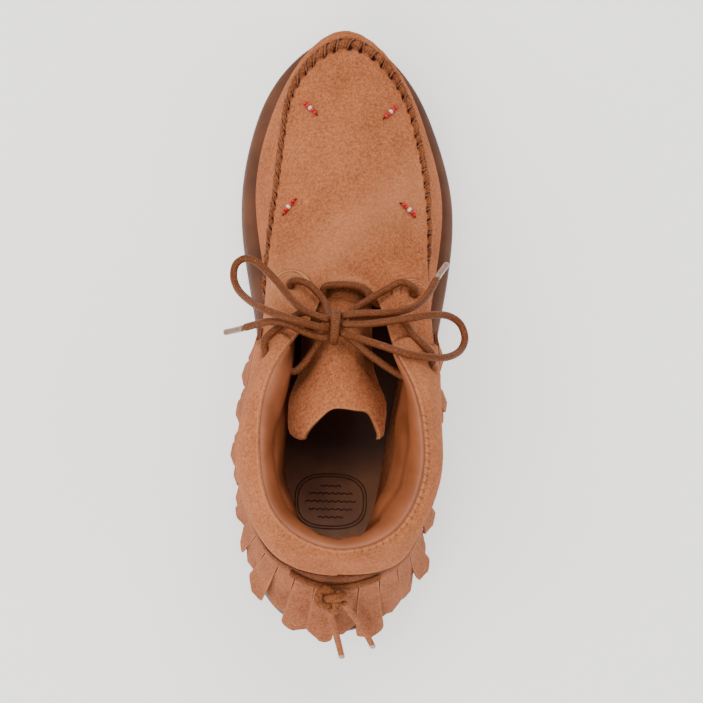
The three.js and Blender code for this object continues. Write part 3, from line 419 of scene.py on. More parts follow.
def ring_tubes(name, lines, across, up, radius, material, sides, flat):
    """Closed tubes along lines, shape (tubes, steps, 3), with a ring at each step: across and up are its axes,
    and flat squeezes it along up."""
    tubes, steps = lines.shape[:2]
    radius = np.broadcast_to(np.asarray(radius, float), (tubes, steps))[..., None, None]
    angle = 2 * np.pi * np.arange(sides) / sides
    ring = np.cos(angle)[:, None] * across[:, :, None] + flat * np.sin(angle)[:, None] * up[:, :, None]
    faces = many_times(tube_faces(steps, sides), tubes, steps * sides)
    weave = np.stack(np.broadcast_arrays(run_along(lines)[:, :, None], np.cos(angle), np.sin(angle)), -1)
    return make_mesh(name, lines[:, :, None] + radius * ring, faces, material, {"weave": weave})


def many_tubes(name, lines, radius, material, sides=8, facing=(0, 0, 1), flat=1.0):
    """Tubes along several lines at once, whose rings stand upright to one direction."""
    lines = np.asarray(lines, float)
    ahead = unit(np.gradient(lines, axis=1))
    across = unit(np.cross(ahead, np.broadcast_to(np.asarray(facing, float), lines.shape)))
    return ring_tubes(name, lines, across, np.cross(across, ahead), radius, material, sides, flat)


def cord_line(points, step=0.8):
    """A smooth line through points: a centripetal Catmull-Rom curve, taken again at equal steps of length."""
    points = np.asarray(points, float)
    p = np.vstack([2 * points[0] - points[1], points, 2 * points[-1] - points[-2]])
    knot = np.sqrt(np.linalg.norm(np.diff(p, axis=0), axis=1))
    share = np.linspace(0, 1, 24, endpoint=False)[:, None]
    pieces = []
    for i in range(1, len(p) - 2):
        before, here, after = knot[i - 1], knot[i], knot[i + 1]
        leave = (p[i] - p[i - 1]) / before - (p[i + 1] - p[i - 1]) / (before + here) + (p[i + 1] - p[i]) / here
        arrive = (p[i + 1] - p[i]) / here - (p[i + 2] - p[i]) / (here + after) + (p[i + 2] - p[i + 1]) / after
        a, b = leave * here, arrive * here
        t2, t3 = share**2, share**3
        pieces.append(
            p[i] * (2 * t3 - 3 * t2 + 1) + a * (t3 - 2 * t2 + share)
            + p[i + 1] * (3 * t2 - 2 * t3) + b * (t3 - t2)
        )
    line = np.vstack([*pieces, p[-2:-1]])
    gone = run_along(line)
    even = np.linspace(0, gone[-1], max(8, int(gone[-1] / step)))
    return np.stack([np.interp(even, gone, line[:, k]) for k in range(3)], -1)


def line_length(line):
    return float(np.linalg.norm(np.diff(line, axis=0), axis=1).sum())


def sweep(name, line, radius, material, sides=16, flat=1.0, facing=(0.1, 0.2, 1.0)):
    """A cord: a ring carried along a line without twist, each frame the last one turned by the least angle.
    facing starts the frame, and flat squeezes the ring along it."""
    ahead = unit(np.gradient(line, axis=0))
    up = np.zeros_like(line)
    start = np.array(facing, float)
    for i, way in enumerate(ahead):
        start = unit(start - way * start.dot(way))
        up[i] = start
    return ring_tubes(name, line[None], np.cross(ahead, up)[None], up[None], radius, material, sides, flat)


def rounded_ends(steps, radius, reach):
    """Radii along a cord that fall to nearly nothing over reach steps at each end, as a quarter circle does."""
    i = np.minimum(np.arange(steps), np.arange(steps)[::-1]) / reach
    return radius * np.sqrt(np.clip(1 - (1 - np.clip(i, 0, 1)) ** 2, 0.03, 1))


# Materials


def linear(colour):
    """A colour written as sRGB hex, turned to linear red, green, blue and full alpha."""
    parts = [int(colour[i : i + 2], 16) / 255 for i in (1, 3, 5)]
    return tuple(c / 12.92 if c <= 0.04045 else ((c + 0.055) / 1.055) ** 2.4 for c in parts) + (1.0,)


def wire(tree, node, **links):
    """Gives links or values to a node's sockets: each by its name, with underscores for spaces, or by its place
    as n and a number."""
    for key, value in links.items():
        by_place = key[0] == "n" and key[1:].isdigit()
        socket = node.inputs[int(key[1:]) if by_place else key.replace("_", " ")]
        if isinstance(value, bpy.types.NodeSocket):
            tree.links.new(value, socket)
        else:
            socket.default_value = value


def add_node(tree, kind, settings=None, **links):
    """Adds a shader node with its settings and links, and gives its outputs."""
    node = tree.nodes.new("ShaderNode" + kind)
    for key, value in (settings or {}).items():
        setattr(node, key, value)
    wire(tree, node, **links)
    return node.outputs


def new_material(name, roughness, **sockets):
    """An empty material with its tree, its shader and the object's own coordinates."""
    material = bpy.data.materials.new(name)
    material.use_nodes = True
    tree = material.node_tree
    shader = tree.nodes["Principled BSDF"]
    wire(tree, shader, Roughness=roughness, **sockets)
    return material, tree, shader, add_node(tree, "TexCoord")["Object"]


def patches(tree, place, grain, detail, rough, low, high):
    """Shares from 0 to 1 in patches about grain millimetres wide: noise, stretched from low to high."""
    height = add_node(tree, "TexNoise", Vector=place, Scale=1000 / grain, Detail=detail, Roughness=rough)["Fac"]
    return add_node(tree, "MapRange", Value=height, From_Min=low, From_Max=high)[0]


def paint(tree, shader, colour, *layers):
    """Lays colours over the first one, each by its share, and gives what comes out to the shader."""
    for share, over in layers:
        colour = add_node(tree, "Mix", {"data_type": "RGBA"}, n0=share, n6=colour, n7=over)[2]
    wire(tree, shader, Base_Color=colour)


def suede(name, base, dark, light):
    """Brushed calf suede: a matt nap whose fibres lie in clouds, with a soft glow at grazing angles.
    Nap clumps are drawn 1.3 mm wide, coarser than real fibres, so that they show; clouds are 13 and 48 mm."""
    base, dark, light = linear(base), linear(dark), linear(light)
    material, tree, shader, place = new_material(
        name, 0.95, Specular_IOR_Level=0.08, Sheen_Weight=0.06, Sheen_Roughness=0.5, Sheen_Tint=light)
    clouds = patches(tree, place, 13, 4.0, 0.65, 0.38, 0.62)
    drift = patches(tree, place, 48, 2.0, 0.55, 0.35, 0.65)
    nap = patches(tree, place, 1.3, 6.0, 0.85, 0.4, 0.6)
    half_drift = add_node(tree, "Math", {"operation": "MULTIPLY"}, n0=drift, n1=0.5)[0]
    fleck = add_node(tree, "Mix", {"data_type": "RGBA"}, n0=nap, n6=dark, n7=light)[2]
    # The first mark, dark, lays painted shade; the second lays paler wear and painted highlight.
    marks = [add_node(tree, "Attribute", {"attribute_name": mark})["Fac"] for mark in ("dark", "wear_and_painted_highlight")]
    paint(tree, shader, dark, (clouds, base), (half_drift, light), (0.6, fleck),
          (marks[0], linear("#2a1006")), (marks[1], linear("#d08d63")))
    # Two reliefs, one over the other: grain in millimetres, strength and distance in metres
    bend = {}
    for grain, strength, distance in ((2.6, 0.5, 0.0008), (0.55, 0.7, 0.0004)):
        height = add_node(tree, "TexNoise", Vector=place, Scale=1000 / grain, Detail=3.0, Roughness=0.55)["Fac"]
        bend = {"Normal": add_node(tree, "Bump", Strength=strength, Distance=distance, Height=height, **bend)[0]}
    wire(tree, shader, **bend)
    return material


# Width in millimetres of one cell of the leather's grain, and the length of one repeat of the lace's braid
LEATHER_CELL = 0.9
BRAID_REPEAT = 1.2


def smooth_leather(name, base, dark, light):
    """Vegetable-tanned lining leather: a fine closed grain with a low satin gloss, with painted shade in its
    folds and deep inside the boot.
    """
    material, tree, shader, place = new_material(
        name, 0.42, Specular_IOR_Level=0.4, Coat_Weight=0.08, Coat_Roughness=0.35)
    # The dark mark is painted shade: in folds and puckers and deep inside the boot.
    painted_shade = add_node(tree, "Attribute", {"attribute_name": "dark"})["Fac"]
    clouds = patches(tree, place, 22, 3.0, 0.55, 0.35, 0.68)
    paint(tree, shader, linear(base), (clouds, linear(light)), (painted_shade, linear(dark)))
    cells = add_node(
        tree, "TexVoronoi", {"feature": "DISTANCE_TO_EDGE"}, Vector=place, Scale=1000 / LEATHER_CELL)["Distance"]
    grain = add_node(tree, "Bump", Strength=0.12, Distance=0.0002, Height=cells)[0]
    height = add_node(tree, "TexNoise", Vector=place, Scale=1000 / 9, Detail=2.0, Roughness=0.55)["Fac"]
    folds = add_node(tree, "Bump", Strength=0.25, Distance=0.0015, Height=height, Normal=grain)[0]
    wire(tree, shader, Normal=folds)
    return material


def waxed_cord(name, base, dark, light):
    """Round waxed cotton lace: a tight braid under dull wax, with painted glints on its strands and painted shade
    between them.
    The braid runs in two opposed spirals, each a sine of the length along the lace and the angle round it."""
    material, tree, shader, place = new_material(name, 0.5, Specular_IOR_Level=0.14)
    weave = add_node(tree, "Attribute", {"attribute_name": "weave"})["Vector"]
    split = add_node(tree, "SeparateXYZ", Vector=weave)
    angle = add_node(tree, "Math", {"operation": "ARCTAN2"}, n0=split[2], n1=split[1])[0]
    waves = []
    for way in (2.0, -2.0):
        turned = add_node(tree, "Math", {"operation": "MULTIPLY"}, n0=angle, n1=way)[0]
        phase = add_node(
            tree, "Math", {"operation": "MULTIPLY_ADD"}, n0=split[0], n1=2 * math.pi / BRAID_REPEAT, n2=turned)[0]
        waves.append(add_node(tree, "Math", {"operation": "SINE"}, n0=phase)[0])
    braid = add_node(tree, "Math", {"operation": "MAXIMUM"}, n0=waves[0], n1=waves[1])[0]
    strand = add_node(tree, "MapRange", Value=braid, From_Min=-2.6, From_Max=1.0)[0]
    # Painted glints lie as pale flecks on the strands, and painted shade between them.
    painted_glints = patches(tree, place, 0.8, 5.0, 0.85, 0.5, 0.8)
    paint(tree, shader, linear(dark), (strand, linear(base)), (painted_glints, linear(light)))
    wire(tree, shader, Normal=add_node(tree, "Bump", Strength=0.12, Distance=0.0002, Height=strand)[0])
    return material


def moulded(name, base, dark, roughness, grain, strength):
    """Moulded sole rubber or foam: even colour with faint mould clouds and a fine blasted texture."""
    material, tree, shader, place = new_material(name, roughness, Specular_IOR_Level=0.3)
    paint(tree, shader, linear(dark), (patches(tree, place, 24, 3.0, 0.55, 0.35, 0.7), linear(base)))
    rough = patches(tree, place, 3.0, 3.0, 0.55, -0.4, 1.6)
    uneven = add_node(tree, "Math", {"operation": "MULTIPLY_ADD"}, n0=rough, n1=0.25, n2=roughness - 0.12)[0]
    height = add_node(tree, "TexNoise", Vector=place, Scale=1000 / grain, Detail=3.0, Roughness=0.55)["Fac"]
    raised = add_node(tree, "Bump", Strength=strength, Distance=0.0004, Height=height)[0]
    wire(tree, shader, Roughness=uneven, Normal=raised)
    return material


def plain_gloss(name, base, shade, roughness, **sockets):
    """Glass, thread or plastic: one colour with a faint change of shade along it."""
    material, tree, shader, place = new_material(name, roughness, **sockets)
    paint(tree, shader, linear(shade), (patches(tree, place, 2.0, 2.0, 0.55, 0.3, 0.7), linear(base)))
    return material


MATERIALS = {}


def make_materials():
    MATERIALS.update(
        suede=suede("brushed_calf_suede", "#ac6138", "#7e4022", "#cd8157"),
        fringe=suede("split_suede", "#a05e3f", "#774027", "#c07b58"),
        lining=smooth_leather("tanned_lining_leather", "#8c4d2c", "#3a170a", "#a45f3b"),
        insole=smooth_leather("insole_leather", "#a36b45", "#361a0e", "#bf8558"),
        lace=waxed_cord("waxed_cotton_lace", "#6c391d", "#38190a", "#aa7048"),
        thong=suede("oiled_suede_thong", "#8f5233", "#61341c", "#b0704a"),
        thread=plain_gloss("waxed_linen_thread", "#8f5231", "#5f3019", 0.6),
        tab_thread=plain_gloss("light_tab_thread", "#b8784c", "#9a5d36", 0.6),
        hole=plain_gloss("awl_hole_shadow", "#2a1108", "#1d0b05", 0.9),
        press=plain_gloss("pressed_insole_leather", "#6b4028", "#54301d", 0.6),
        foam=moulded("moulded_rubber_foam", "#6f4128", "#54301c", 0.6, 0.9, 0.2),
        rubber=moulded("vulcanised_rubber", "#20120d", "#170c08", 0.42, 1.2, 0.25),
        red=plain_gloss(
            "opaque_red_glass", "#d4000c", "#aa0008", 0.25, Coat_Weight=0.1, Coat_Roughness=0.08),
        white=plain_gloss(
            "opaque_white_glass", "#ece4d8", "#d8cdbd", 0.2, Coat_Weight=0.6, Coat_Roughness=0.08),
        tip=plain_gloss(
            "clear_plastic_tip", "#a58a78", "#86644e", 0.15, Coat_Weight=1.0, Coat_Roughness=0.05),
        pale=plain_gloss("worn_leather_tip", "#c9b39b", "#a58a70", 0.6),
    )


# Sizes and colours that a user may change


class BootSizes(bpy.types.PropertyGroup):
    seam_pitch: bpy.props.FloatProperty(
        name="Seam pitch", default=6.5,
        description="Distance between hand stitches along the apron seam, in millimetres")
    seam_thread: bpy.props.FloatProperty(
        name="Seam thread", default=0.8, description="Thickness of the apron seam's thread, in millimetres")
    pucker: bpy.props.FloatProperty(
        name="Pucker", default=0.5, description="Depth of the gathers beside the apron seam, in millimetres")
    collar_stitch: bpy.props.FloatProperty(
        name="Collar stitch", default=3.1,
        description="Distance between stitches along the collar's rim, in millimetres")
    lens: bpy.props.FloatProperty(
        name="Lens", default=102.4, subtype="DISTANCE_CAMERA", description="Focal length of the camera")


class BootColours(bpy.types.PropertyGroup):
    floor: bpy.props.FloatVectorProperty(
        name="Floor", size=4, subtype="COLOR", default=linear("#f4f2f0"),
        description="Colour of the studio floor")
    light: bpy.props.FloatVectorProperty(
        name="Light", size=3, subtype="COLOR", default=(1.0, 0.985, 0.965), description="Colour of the lamps")


# Cord routes, as in the solids: each point is from the bow's knot, in shares of BOW_REACH, and the thong's ends
# run from under their knot, in shares of FRINGE_LENGTH.

BOW_KNOT = np.array([-0.056 * BALL_WIDTH, 0.442 * LENGTH, 1.31 * INSTEP_HEIGHT])
LOOP_LEFT = (
    (-0.038, 0.06, 0.0), (-0.13, 0.083, 0.015), (-0.235, 0.138, -0.025), (-0.334, 0.241, -0.1),
    (-0.425, 0.365, -0.17), (-0.525, 0.481, -0.22), (-0.609, 0.554, -0.26), (-0.685, 0.572, -0.28),
    (-0.745, 0.528, -0.285), (-0.762, 0.441, -0.28), (-0.733, 0.335, -0.23), (-0.647, 0.218, -0.1),
    (-0.519, 0.112, 0.07), (-0.332, 0.034, 0.15), (-0.16, 0.0, 0.08), (-0.037, -0.008, 0.0),
)
LOOP_RIGHT = (
    (0.037, 0.032, 0.0), (0.188, 0.028, 0.025), (0.371, 0.045, 0.06), (0.56, 0.079, 0.07),
    (0.733, 0.121, -0.01), (0.869, 0.134, -0.12), (0.956, 0.085, -0.17), (0.99, -0.014, -0.17),
    (0.957, -0.114, -0.11), (0.849, -0.2, 0.03), (0.706, -0.229, 0.15), (0.513, -0.217, 0.22),
    (0.342, -0.163, 0.21), (0.184, -0.094, 0.1), (0.037, -0.033, 0.0),
)
END_RIGHT = (
    (0.037, 0.095, -0.017), (0.189, 0.118, -0.01), (0.371, 0.125, -0.005), (0.54, 0.165, -0.05),
    (0.659, 0.246, -0.14), (0.741, 0.371, -0.24), (0.8, 0.485, -0.32), (0.874, 0.598, -0.383),
)
END_LEFT = (
    (-0.035, -0.073, -0.017), (-0.14, -0.064, 0.01), (-0.25, -0.033, 0.045), (-0.363, 0.012, 0.07),
    (-0.48, 0.03, 0.04), (-0.591, 0.024, -0.07), (-0.702, 0.01, -0.18), (-0.822, -0.007, -0.26),
)
THONG_END_LEFT = ((-0.03, -0.125, 0.007), (0.0, -0.21, -0.25), (0.06, -0.36, -0.54), (0.11, -0.5, -0.74))
THONG_END_RIGHT = ((0.075, -0.12, 0.009), (0.15, -0.19, -0.22), (0.26, -0.31, -0.46), (0.34, -0.42, -0.66))


def from_knot(route):
    return BOW_KNOT + BOW_REACH * np.array(route)


def in_row(points):
    return ((np.asarray(points) - FOOTPRINT_MIDDLE) / 1000).tolist()


def free_cord(line):
    """Works out a cord's first point, its points in the row's frame and its length in metres, and keeps none of
    them.
    """
    in_row(line[0])
    line_length(line) / 1000
    in_row(line)


# How far the fringe's ends stand out from the boot, in shares of its length
HEEL_FLARE, LATERAL_FLARE, MEDIAL_FLARE = 0.38, 0.11, 0.04


def skirt(turn, share, out, lift=1.0):
    """The fringe's hang: from under the collar's ledge down a slope that leaves the boot a little, most at the
    heel. share runs from 0 at the ledge to 1 at the strips' ends, and out is a height over that slope."""
    turn, share, out = np.broadcast_arrays(*(np.asarray(v, float) for v in (turn, share, out)))
    start = off_skin(turn, np.full(turn.shape, BAND_LEVEL - 0.022), np.full(turn.shape, 2.6 * CLEARANCE))
    away = plain_normal(crown_line, turn)
    flare = mix(HEEL_FLARE, np.where(turn > 0, LATERAL_FLARE, MEDIAL_FLARE), smooth(0.1, 2.35, from_heel(turn)))
    reach = lift * FRINGE_LENGTH * flare
    down = np.sqrt(FRINGE_LENGTH**2 - reach**2)
    slope = np.arctan2(reach, down)
    fall = reach * (0.68 * share + 0.32 * share**2) + out * np.cos(slope)
    drop = down * share - out * np.sin(slope)
    return start + away * fall[..., None] - np.array([0, 0, 1.0]) * drop[..., None]


class BootOperator(bpy.types.Operator):
    """An operator that makes its pieces from the scene's sizes and colours"""

    bl_options = {"REGISTER", "UNDO"}

    def execute(self, context):
        self.make(context.scene.boot_sizes, context.scene.boot_colours)
        return {"FINISHED"}


class BOOT_OT_stage(BootOperator):
    """Puts the boot on a plain pale floor under soft studio light, with the camera high above it"""

    bl_idname = "boot.stage"
    bl_label = "Studio"

    # Name, place in metres, side of the square in metres, power in watts
    LAMPS = (
        ("toe_softbox", (0.1, 1.0, 1.5), 0.9, 12.5), ("lateral_softbox", (1.2, -0.3, 1.2), 0.9, 4.0),
        ("medial_softbox", (-0.75, 0.0, 1.35), 0.7, 7.5), ("heel_softbox", (-0.7, -1.1, 1.4), 1.0, 17.0),
    )
    FLOOR_REACH = 4.0
    FLOOR_GLOW = 1.0
    # The camera stands where the photograph's stood beside this boot, and turns to centre it.
    EYE = (-47.0, -33.4, 984.8)
    AIM = (5.0, 131.0, 50.0)
    UPWARD = (-0.0246, 0.9845, 0.1736)

    def make(self, sizes, colours):
        material = new_material(
            "matt_studio_floor", 0.9, Specular_IOR_Level=0.1, Base_Color=colours.floor,
            Emission_Color=colours.floor, Emission_Strength=self.FLOOR_GLOW)[0]
        reach = self.FLOOR_REACH
        mesh = bpy.data.meshes.new("studio_floor")
        corners = [(-reach, -reach, 0), (reach, -reach, 0), (reach, reach, 0), (-reach, reach, 0)]
        mesh.from_pydata(corners, [], [(0, 1, 2, 3)])
        mesh.materials.append(material)
        floor = bpy.data.objects.new("studio_floor", mesh)
        bpy.context.scene.collection.objects.link(floor)
        floor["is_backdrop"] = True

        world = bpy.data.worlds.new("studio_world")
        world.use_nodes = True
        back = world.node_tree.nodes["Background"]
        back.inputs["Color"].default_value = (1.0, 0.99, 0.98, 1.0)
        back.inputs["Strength"].default_value = 0.6
        bpy.context.scene.world = world

        for name, spot, size, power in self.LAMPS:
            data = bpy.data.lights.new(name, "AREA")
            data.shape = "SQUARE"
            data.size = size
            data.energy = power
            data.color = colours.light
            lamp = bpy.data.objects.new(name, data)
            lamp.location = spot
            lamp.rotation_euler = (Vector((0, 0, 0.05)) - Vector(spot)).to_track_quat("-Z", "Y").to_euler()
            bpy.context.scene.collection.objects.link(lamp)

        eye, aim = Vector(in_row(self.EYE)), Vector(in_row(self.AIM))
        data = bpy.data.cameras.new("camera")
        data.sensor_width = 36
        data.lens = sizes.lens
        camera = bpy.data.objects.new("camera", data)
        camera.location = eye
        back_way = (eye - aim).normalized()
        right = Vector(self.UPWARD).cross(back_way).normalized()
        camera.rotation_euler = Matrix((right, back_way.cross(right), back_way)).transposed().to_euler()
        bpy.context.scene.collection.objects.link(camera)
        bpy.context.scene.camera = camera


class BOOT_OT_bow(BootOperator):
    """Ties the round waxed lace: the bars through tabs and flaps, the bow's two loops, its knot and its ends"""

    bl_idname = "boot.bow"
    bl_label = "Laces"

    def make(self, sizes, colours):
        lace, half = MATERIALS["lace"], 0.5 * LACE_DIAMETER
        # The knot is one turn of the lace over the strands: most of an upright ring, wider than it is high.
        arc = np.pi * np.linspace(-0.1, 1.1, 13)
        ring = [0.5 * np.cos(arc), 2.0 * LACE_DIAMETER * np.cos(arc) + 0.5, 1.25 * LACE_DIAMETER * np.sin(arc)]
        wrap = cord_line(BOW_KNOT + np.stack(ring, -1), 0.4)
        thick = rounded_ends(len(wrap), 1.22 * half, 3)
        knot = sweep("bow_knot", wrap, thick, lace, 20, flat=0.72, facing=(0, 1, 0))
        dress(knot, "waxed_lace", "lace_knot")
        for side, route in (("left", LOOP_LEFT), ("right", LOOP_RIGHT)):
            line = cord_line(from_knot(route), 0.7)
            loop = sweep(f"bow_loop_{side}", line, rounded_ends(len(line), half, 2), lace, 20)
            dress(loop, "waxed_lace", f"lace_loop_{side}")
            free_cord(line)
        for side, route in (("left", END_LEFT), ("right", END_RIGHT)):
            step = 0.3
            line = cord_line(from_knot(route), step)
            steps = len(line) - int(TIP_LENGTH / step)
            bare, sleeve = line[:steps:2], line[steps:]
            end = sweep(f"bow_end_{side}", bare, rounded_ends(len(bare), half, 2), lace, 20)
            dress(end, "waxed_lace", f"lace_end_{side}")
            radius = rounded_ends(len(sleeve), 0.5 * TIP_DIAMETER, 2)
            tip = sweep(f"bow_tip_{side}", sleeve, radius, MATERIALS["tip"], 16)
            dress(tip, "clear_tip", f"lace_tip_{side}")
            free_cord(bare)
        self.bars(lace, half)

    def tie_half(self, flap, tab, side, crossing_up):
        """From the knot round the front of a flap, in through its eyelet, across the tongue, over the opposite
        tab and down through its eyelet."""
        lift = 0.5 * LACE_DIAMETER + 3 * CLEARANCE
        flap_turn = flap[0] - TURN if flap[0] > ROWS else flap[0]
        behind = UPPER_WALL + 2 * CLEARANCE + 0.8 * LINING_PAD * cuff_thickness(flap_turn) + 0.8 * LACE_DIAMETER

        def along(place, turn_by, level_by, out):
            return off_skin(np.array(place[0] + side * turn_by), np.array(place[1] + level_by), out)

        return [
            BOW_KNOT + np.array([side * 1.7, 1.1, -1.0]) * LACE_DIAMETER,
            along(flap, 1.15, 0.13, lift + 1.2), along(flap, 0.6, 0.07, lift + 0.6),
            along(flap, 0.16, 0.02, lift + BAND_STEP), along(flap, 0, 0, 0.6),
            along(flap, 0, 0, -0.5 * behind), along(flap, 0, 0, -behind),
            BOW_KNOT + np.array([0, 0.9, -crossing_up]) * LACE_DIAMETER,
            along(tab, -0.75, 0.155, lift + 2.1), along(tab, -0.3, 0.07, lift + 2.4),
            along(tab, 0, 0, 0.8 * LACE_DIAMETER), along(tab, 0, 0, -UPPER_WALL),
            along(tab, 0, 0, -1.6 * UPPER_WALL),
        ]

    def bars(self, lace, half):
        """The two crossing bars, and the base bar that lies on the throat's edge between the tabs."""
        lateral = self.tie_half(EYELETS["flap_lateral"], EYELETS["tab_medial"], 1, 1.9)
        medial = self.tie_half(EYELETS["flap_medial"], EYELETS["tab_lateral"], -1, 2.8)
        ends = [
            off_skin(*(np.array(v) for v in EYELETS[name]), -2.1 * UPPER_WALL)
            for name in ("tab_medial", "tab_lateral")
        ]
        under = -UPPER_WALL - 0.8 * LACE_DIAMETER
        # Turns from the throat's middle, then how far right, forward and up of its edge the lace lies
        over_edge = [
            top_line(np.array(ROWS + by)) + np.array([right, fore, up])
            for by, right, fore, up in (
                (2.2, 0, 0, under), (1.4, -0.8, -0.8, 0.3 * LACE_DIAMETER),
                (0.7, 0.4, -2.6, 0.5 * LACE_DIAMETER),
                (0.0, -1, -3.2, 0.6 * LACE_DIAMETER), (-1.0, -1.2, -3.2, 0.5 * LACE_DIAMETER),
                (-1.8, -1.5, -2.4, 0.2 * LACE_DIAMETER), (-2.3, 0, 0, under))
        ]
        bar = [lateral[-2], ends[0], *over_edge, ends[1], medial[-2]]
        for name, route in (("lace_bar_lateral", lateral), ("lace_bar_medial", medial), ("lace_bar_base", bar)):
            line = cord_line(np.array(route), 0.7)
            piece = sweep(name, line, rounded_ends(len(line), half, 2), lace, 18)
            dress(piece, "waxed_lace", "lace_bars")


class BOOT_OT_thong(BootOperator):
    """Makes the flat leather thong behind the collar, its overhand knot and its two hanging ends"""

    bl_idname = "boot.thong"
    bl_label = "Heel thong"

    def make(self, sizes, colours):
        leather = MATERIALS["thong"]
        across = np.linspace(-1, 1, 90)
        middle = mix(0.15, 0.015, np.abs(across) ** 1.5)
        wide = np.linspace(-0.5, 0.5, 9)
        share = middle[:, None] + (0.5 + wide[None]) * THONG_WIDTH / FRINGE_LENGTH
        turn = (across * 0.8 - 0.06)[:, None] + 0 * share
        seat = FRINGE_THICKNESS + 2 * CLEARANCE
        crown = THONG_THICKNESS * (1 - 0.6 * (2 * wide[None]) ** 4) + 0 * share
        outer, inner = skirt(turn, share, seat + crown), skirt(turn, share, seat + 0 * crown)
        # The strap's face is darkened a little, and its back, against the fringe, carries painted shade.
        strap = profile_piece(
            "thong_strap", np.concatenate([outer, inner[:, ::-1]], 1), leather, False,
            {"dark": np.concatenate([0.25 + 0 * crown, 0.6 + 0 * crown], 1)})
        dress(strap, "suede", "heel_thong")

        # The overhand knot is a trefoil: sin t + 2 sin 2t across, cos t - 2 cos 2t up and -sin 3t through,
        # leant back against the fringe.
        cord = 0.9 * THONG_WIDTH
        coil = 0.62 * cord
        centre = skirt(-0.06, 0.15, FRINGE_THICKNESS + THONG_THICKNESS + 2.4 * CLEARANCE + coil + 0.5 * cord)
        t = np.linspace(0.35, 2 * np.pi + 0.2, 170)
        loops = np.stack(
            [np.sin(t) + 2 * np.sin(2 * t), np.cos(t) - 2 * np.cos(2 * t), -1.15 * np.sin(3 * t)], -1)
        tilt = math.radians(52)
        way = np.array([
            [1, 0, 0], [0, math.cos(tilt), math.sin(tilt)], [0, -math.sin(tilt), math.cos(tilt)]])
        line = centre + np.array([-1.4, -0.6, 0.4]) + 2.05 * loops @ way
        turns = sweep("thong_knot", line, rounded_ends(len(line), 0.46 * cord, 4), leather, 16, flat=0.9)
        dress(turns, "suede", "heel_thong_knot")

        start = skirt(-0.06, 0.15 + 0.5 * THONG_WIDTH / FRINGE_LENGTH, FRINGE_THICKNESS)
        for side, route in (("left", THONG_END_LEFT), ("right", THONG_END_RIGHT)):
            line = cord_line(start + FRINGE_LENGTH * np.array(route), 0.5)
            taper = 1 - 0.18 * np.linspace(0, 1, len(line)) ** 2
            radius = rounded_ends(len(line), 0.375 * THONG_WIDTH, 3) * taper
            lying = {"flat": 0.7, "facing": (0, -1, 0.6)}
            piece = sweep(f"thong_end_{side}", line, radius, MATERIALS["fringe"], 14, **lying)
            dress(piece, "suede", f"heel_thong_end_{side}")
            wear_and_painted_highlight = line[-8:] + np.array([0, -0.15, 0.25])
            tip = sweep(f"thong_tip_{side}", wear_and_painted_highlight, rounded_ends(8, 1.55, 2), MATERIALS["pale"], 12, **lying)
            dress(tip, "suede")
            free_cord(line)


# How far the tread's edge lies inside the sole's outline
TREAD_INSET = 3.5


def sole_ring(turn, inset, height):
    """The sole's edge moved in from its outline, at a height that is a function of the length."""
    depth = inset(sole_edge(turn)[..., 1]) if callable(inset) else inset
    point = sole_edge(turn) - plain_normal(sole_edge, turn) * np.asarray(depth)[..., None]
    point[..., 2] = height(point[..., 1])
    return point


def ring_body(name, rings, material, shade=None):
    """A body made of closed rings one above the other, with flat ends. shade gives its dark share by length."""
    grid = np.stack(rings, 1)
    columns, rows = grid.shape[:2]
    numbers = np.arange(columns * rows).reshape(columns, rows)
    faces = [
        grid_faces(columns, rows, True, False), cap_faces(numbers[:, 0])[:, ::-1], cap_faces(numbers[:, -1])]
    return make_mesh(name, grid, np.concatenate(faces), material, shade and {"dark": shade(grid[..., 1])})


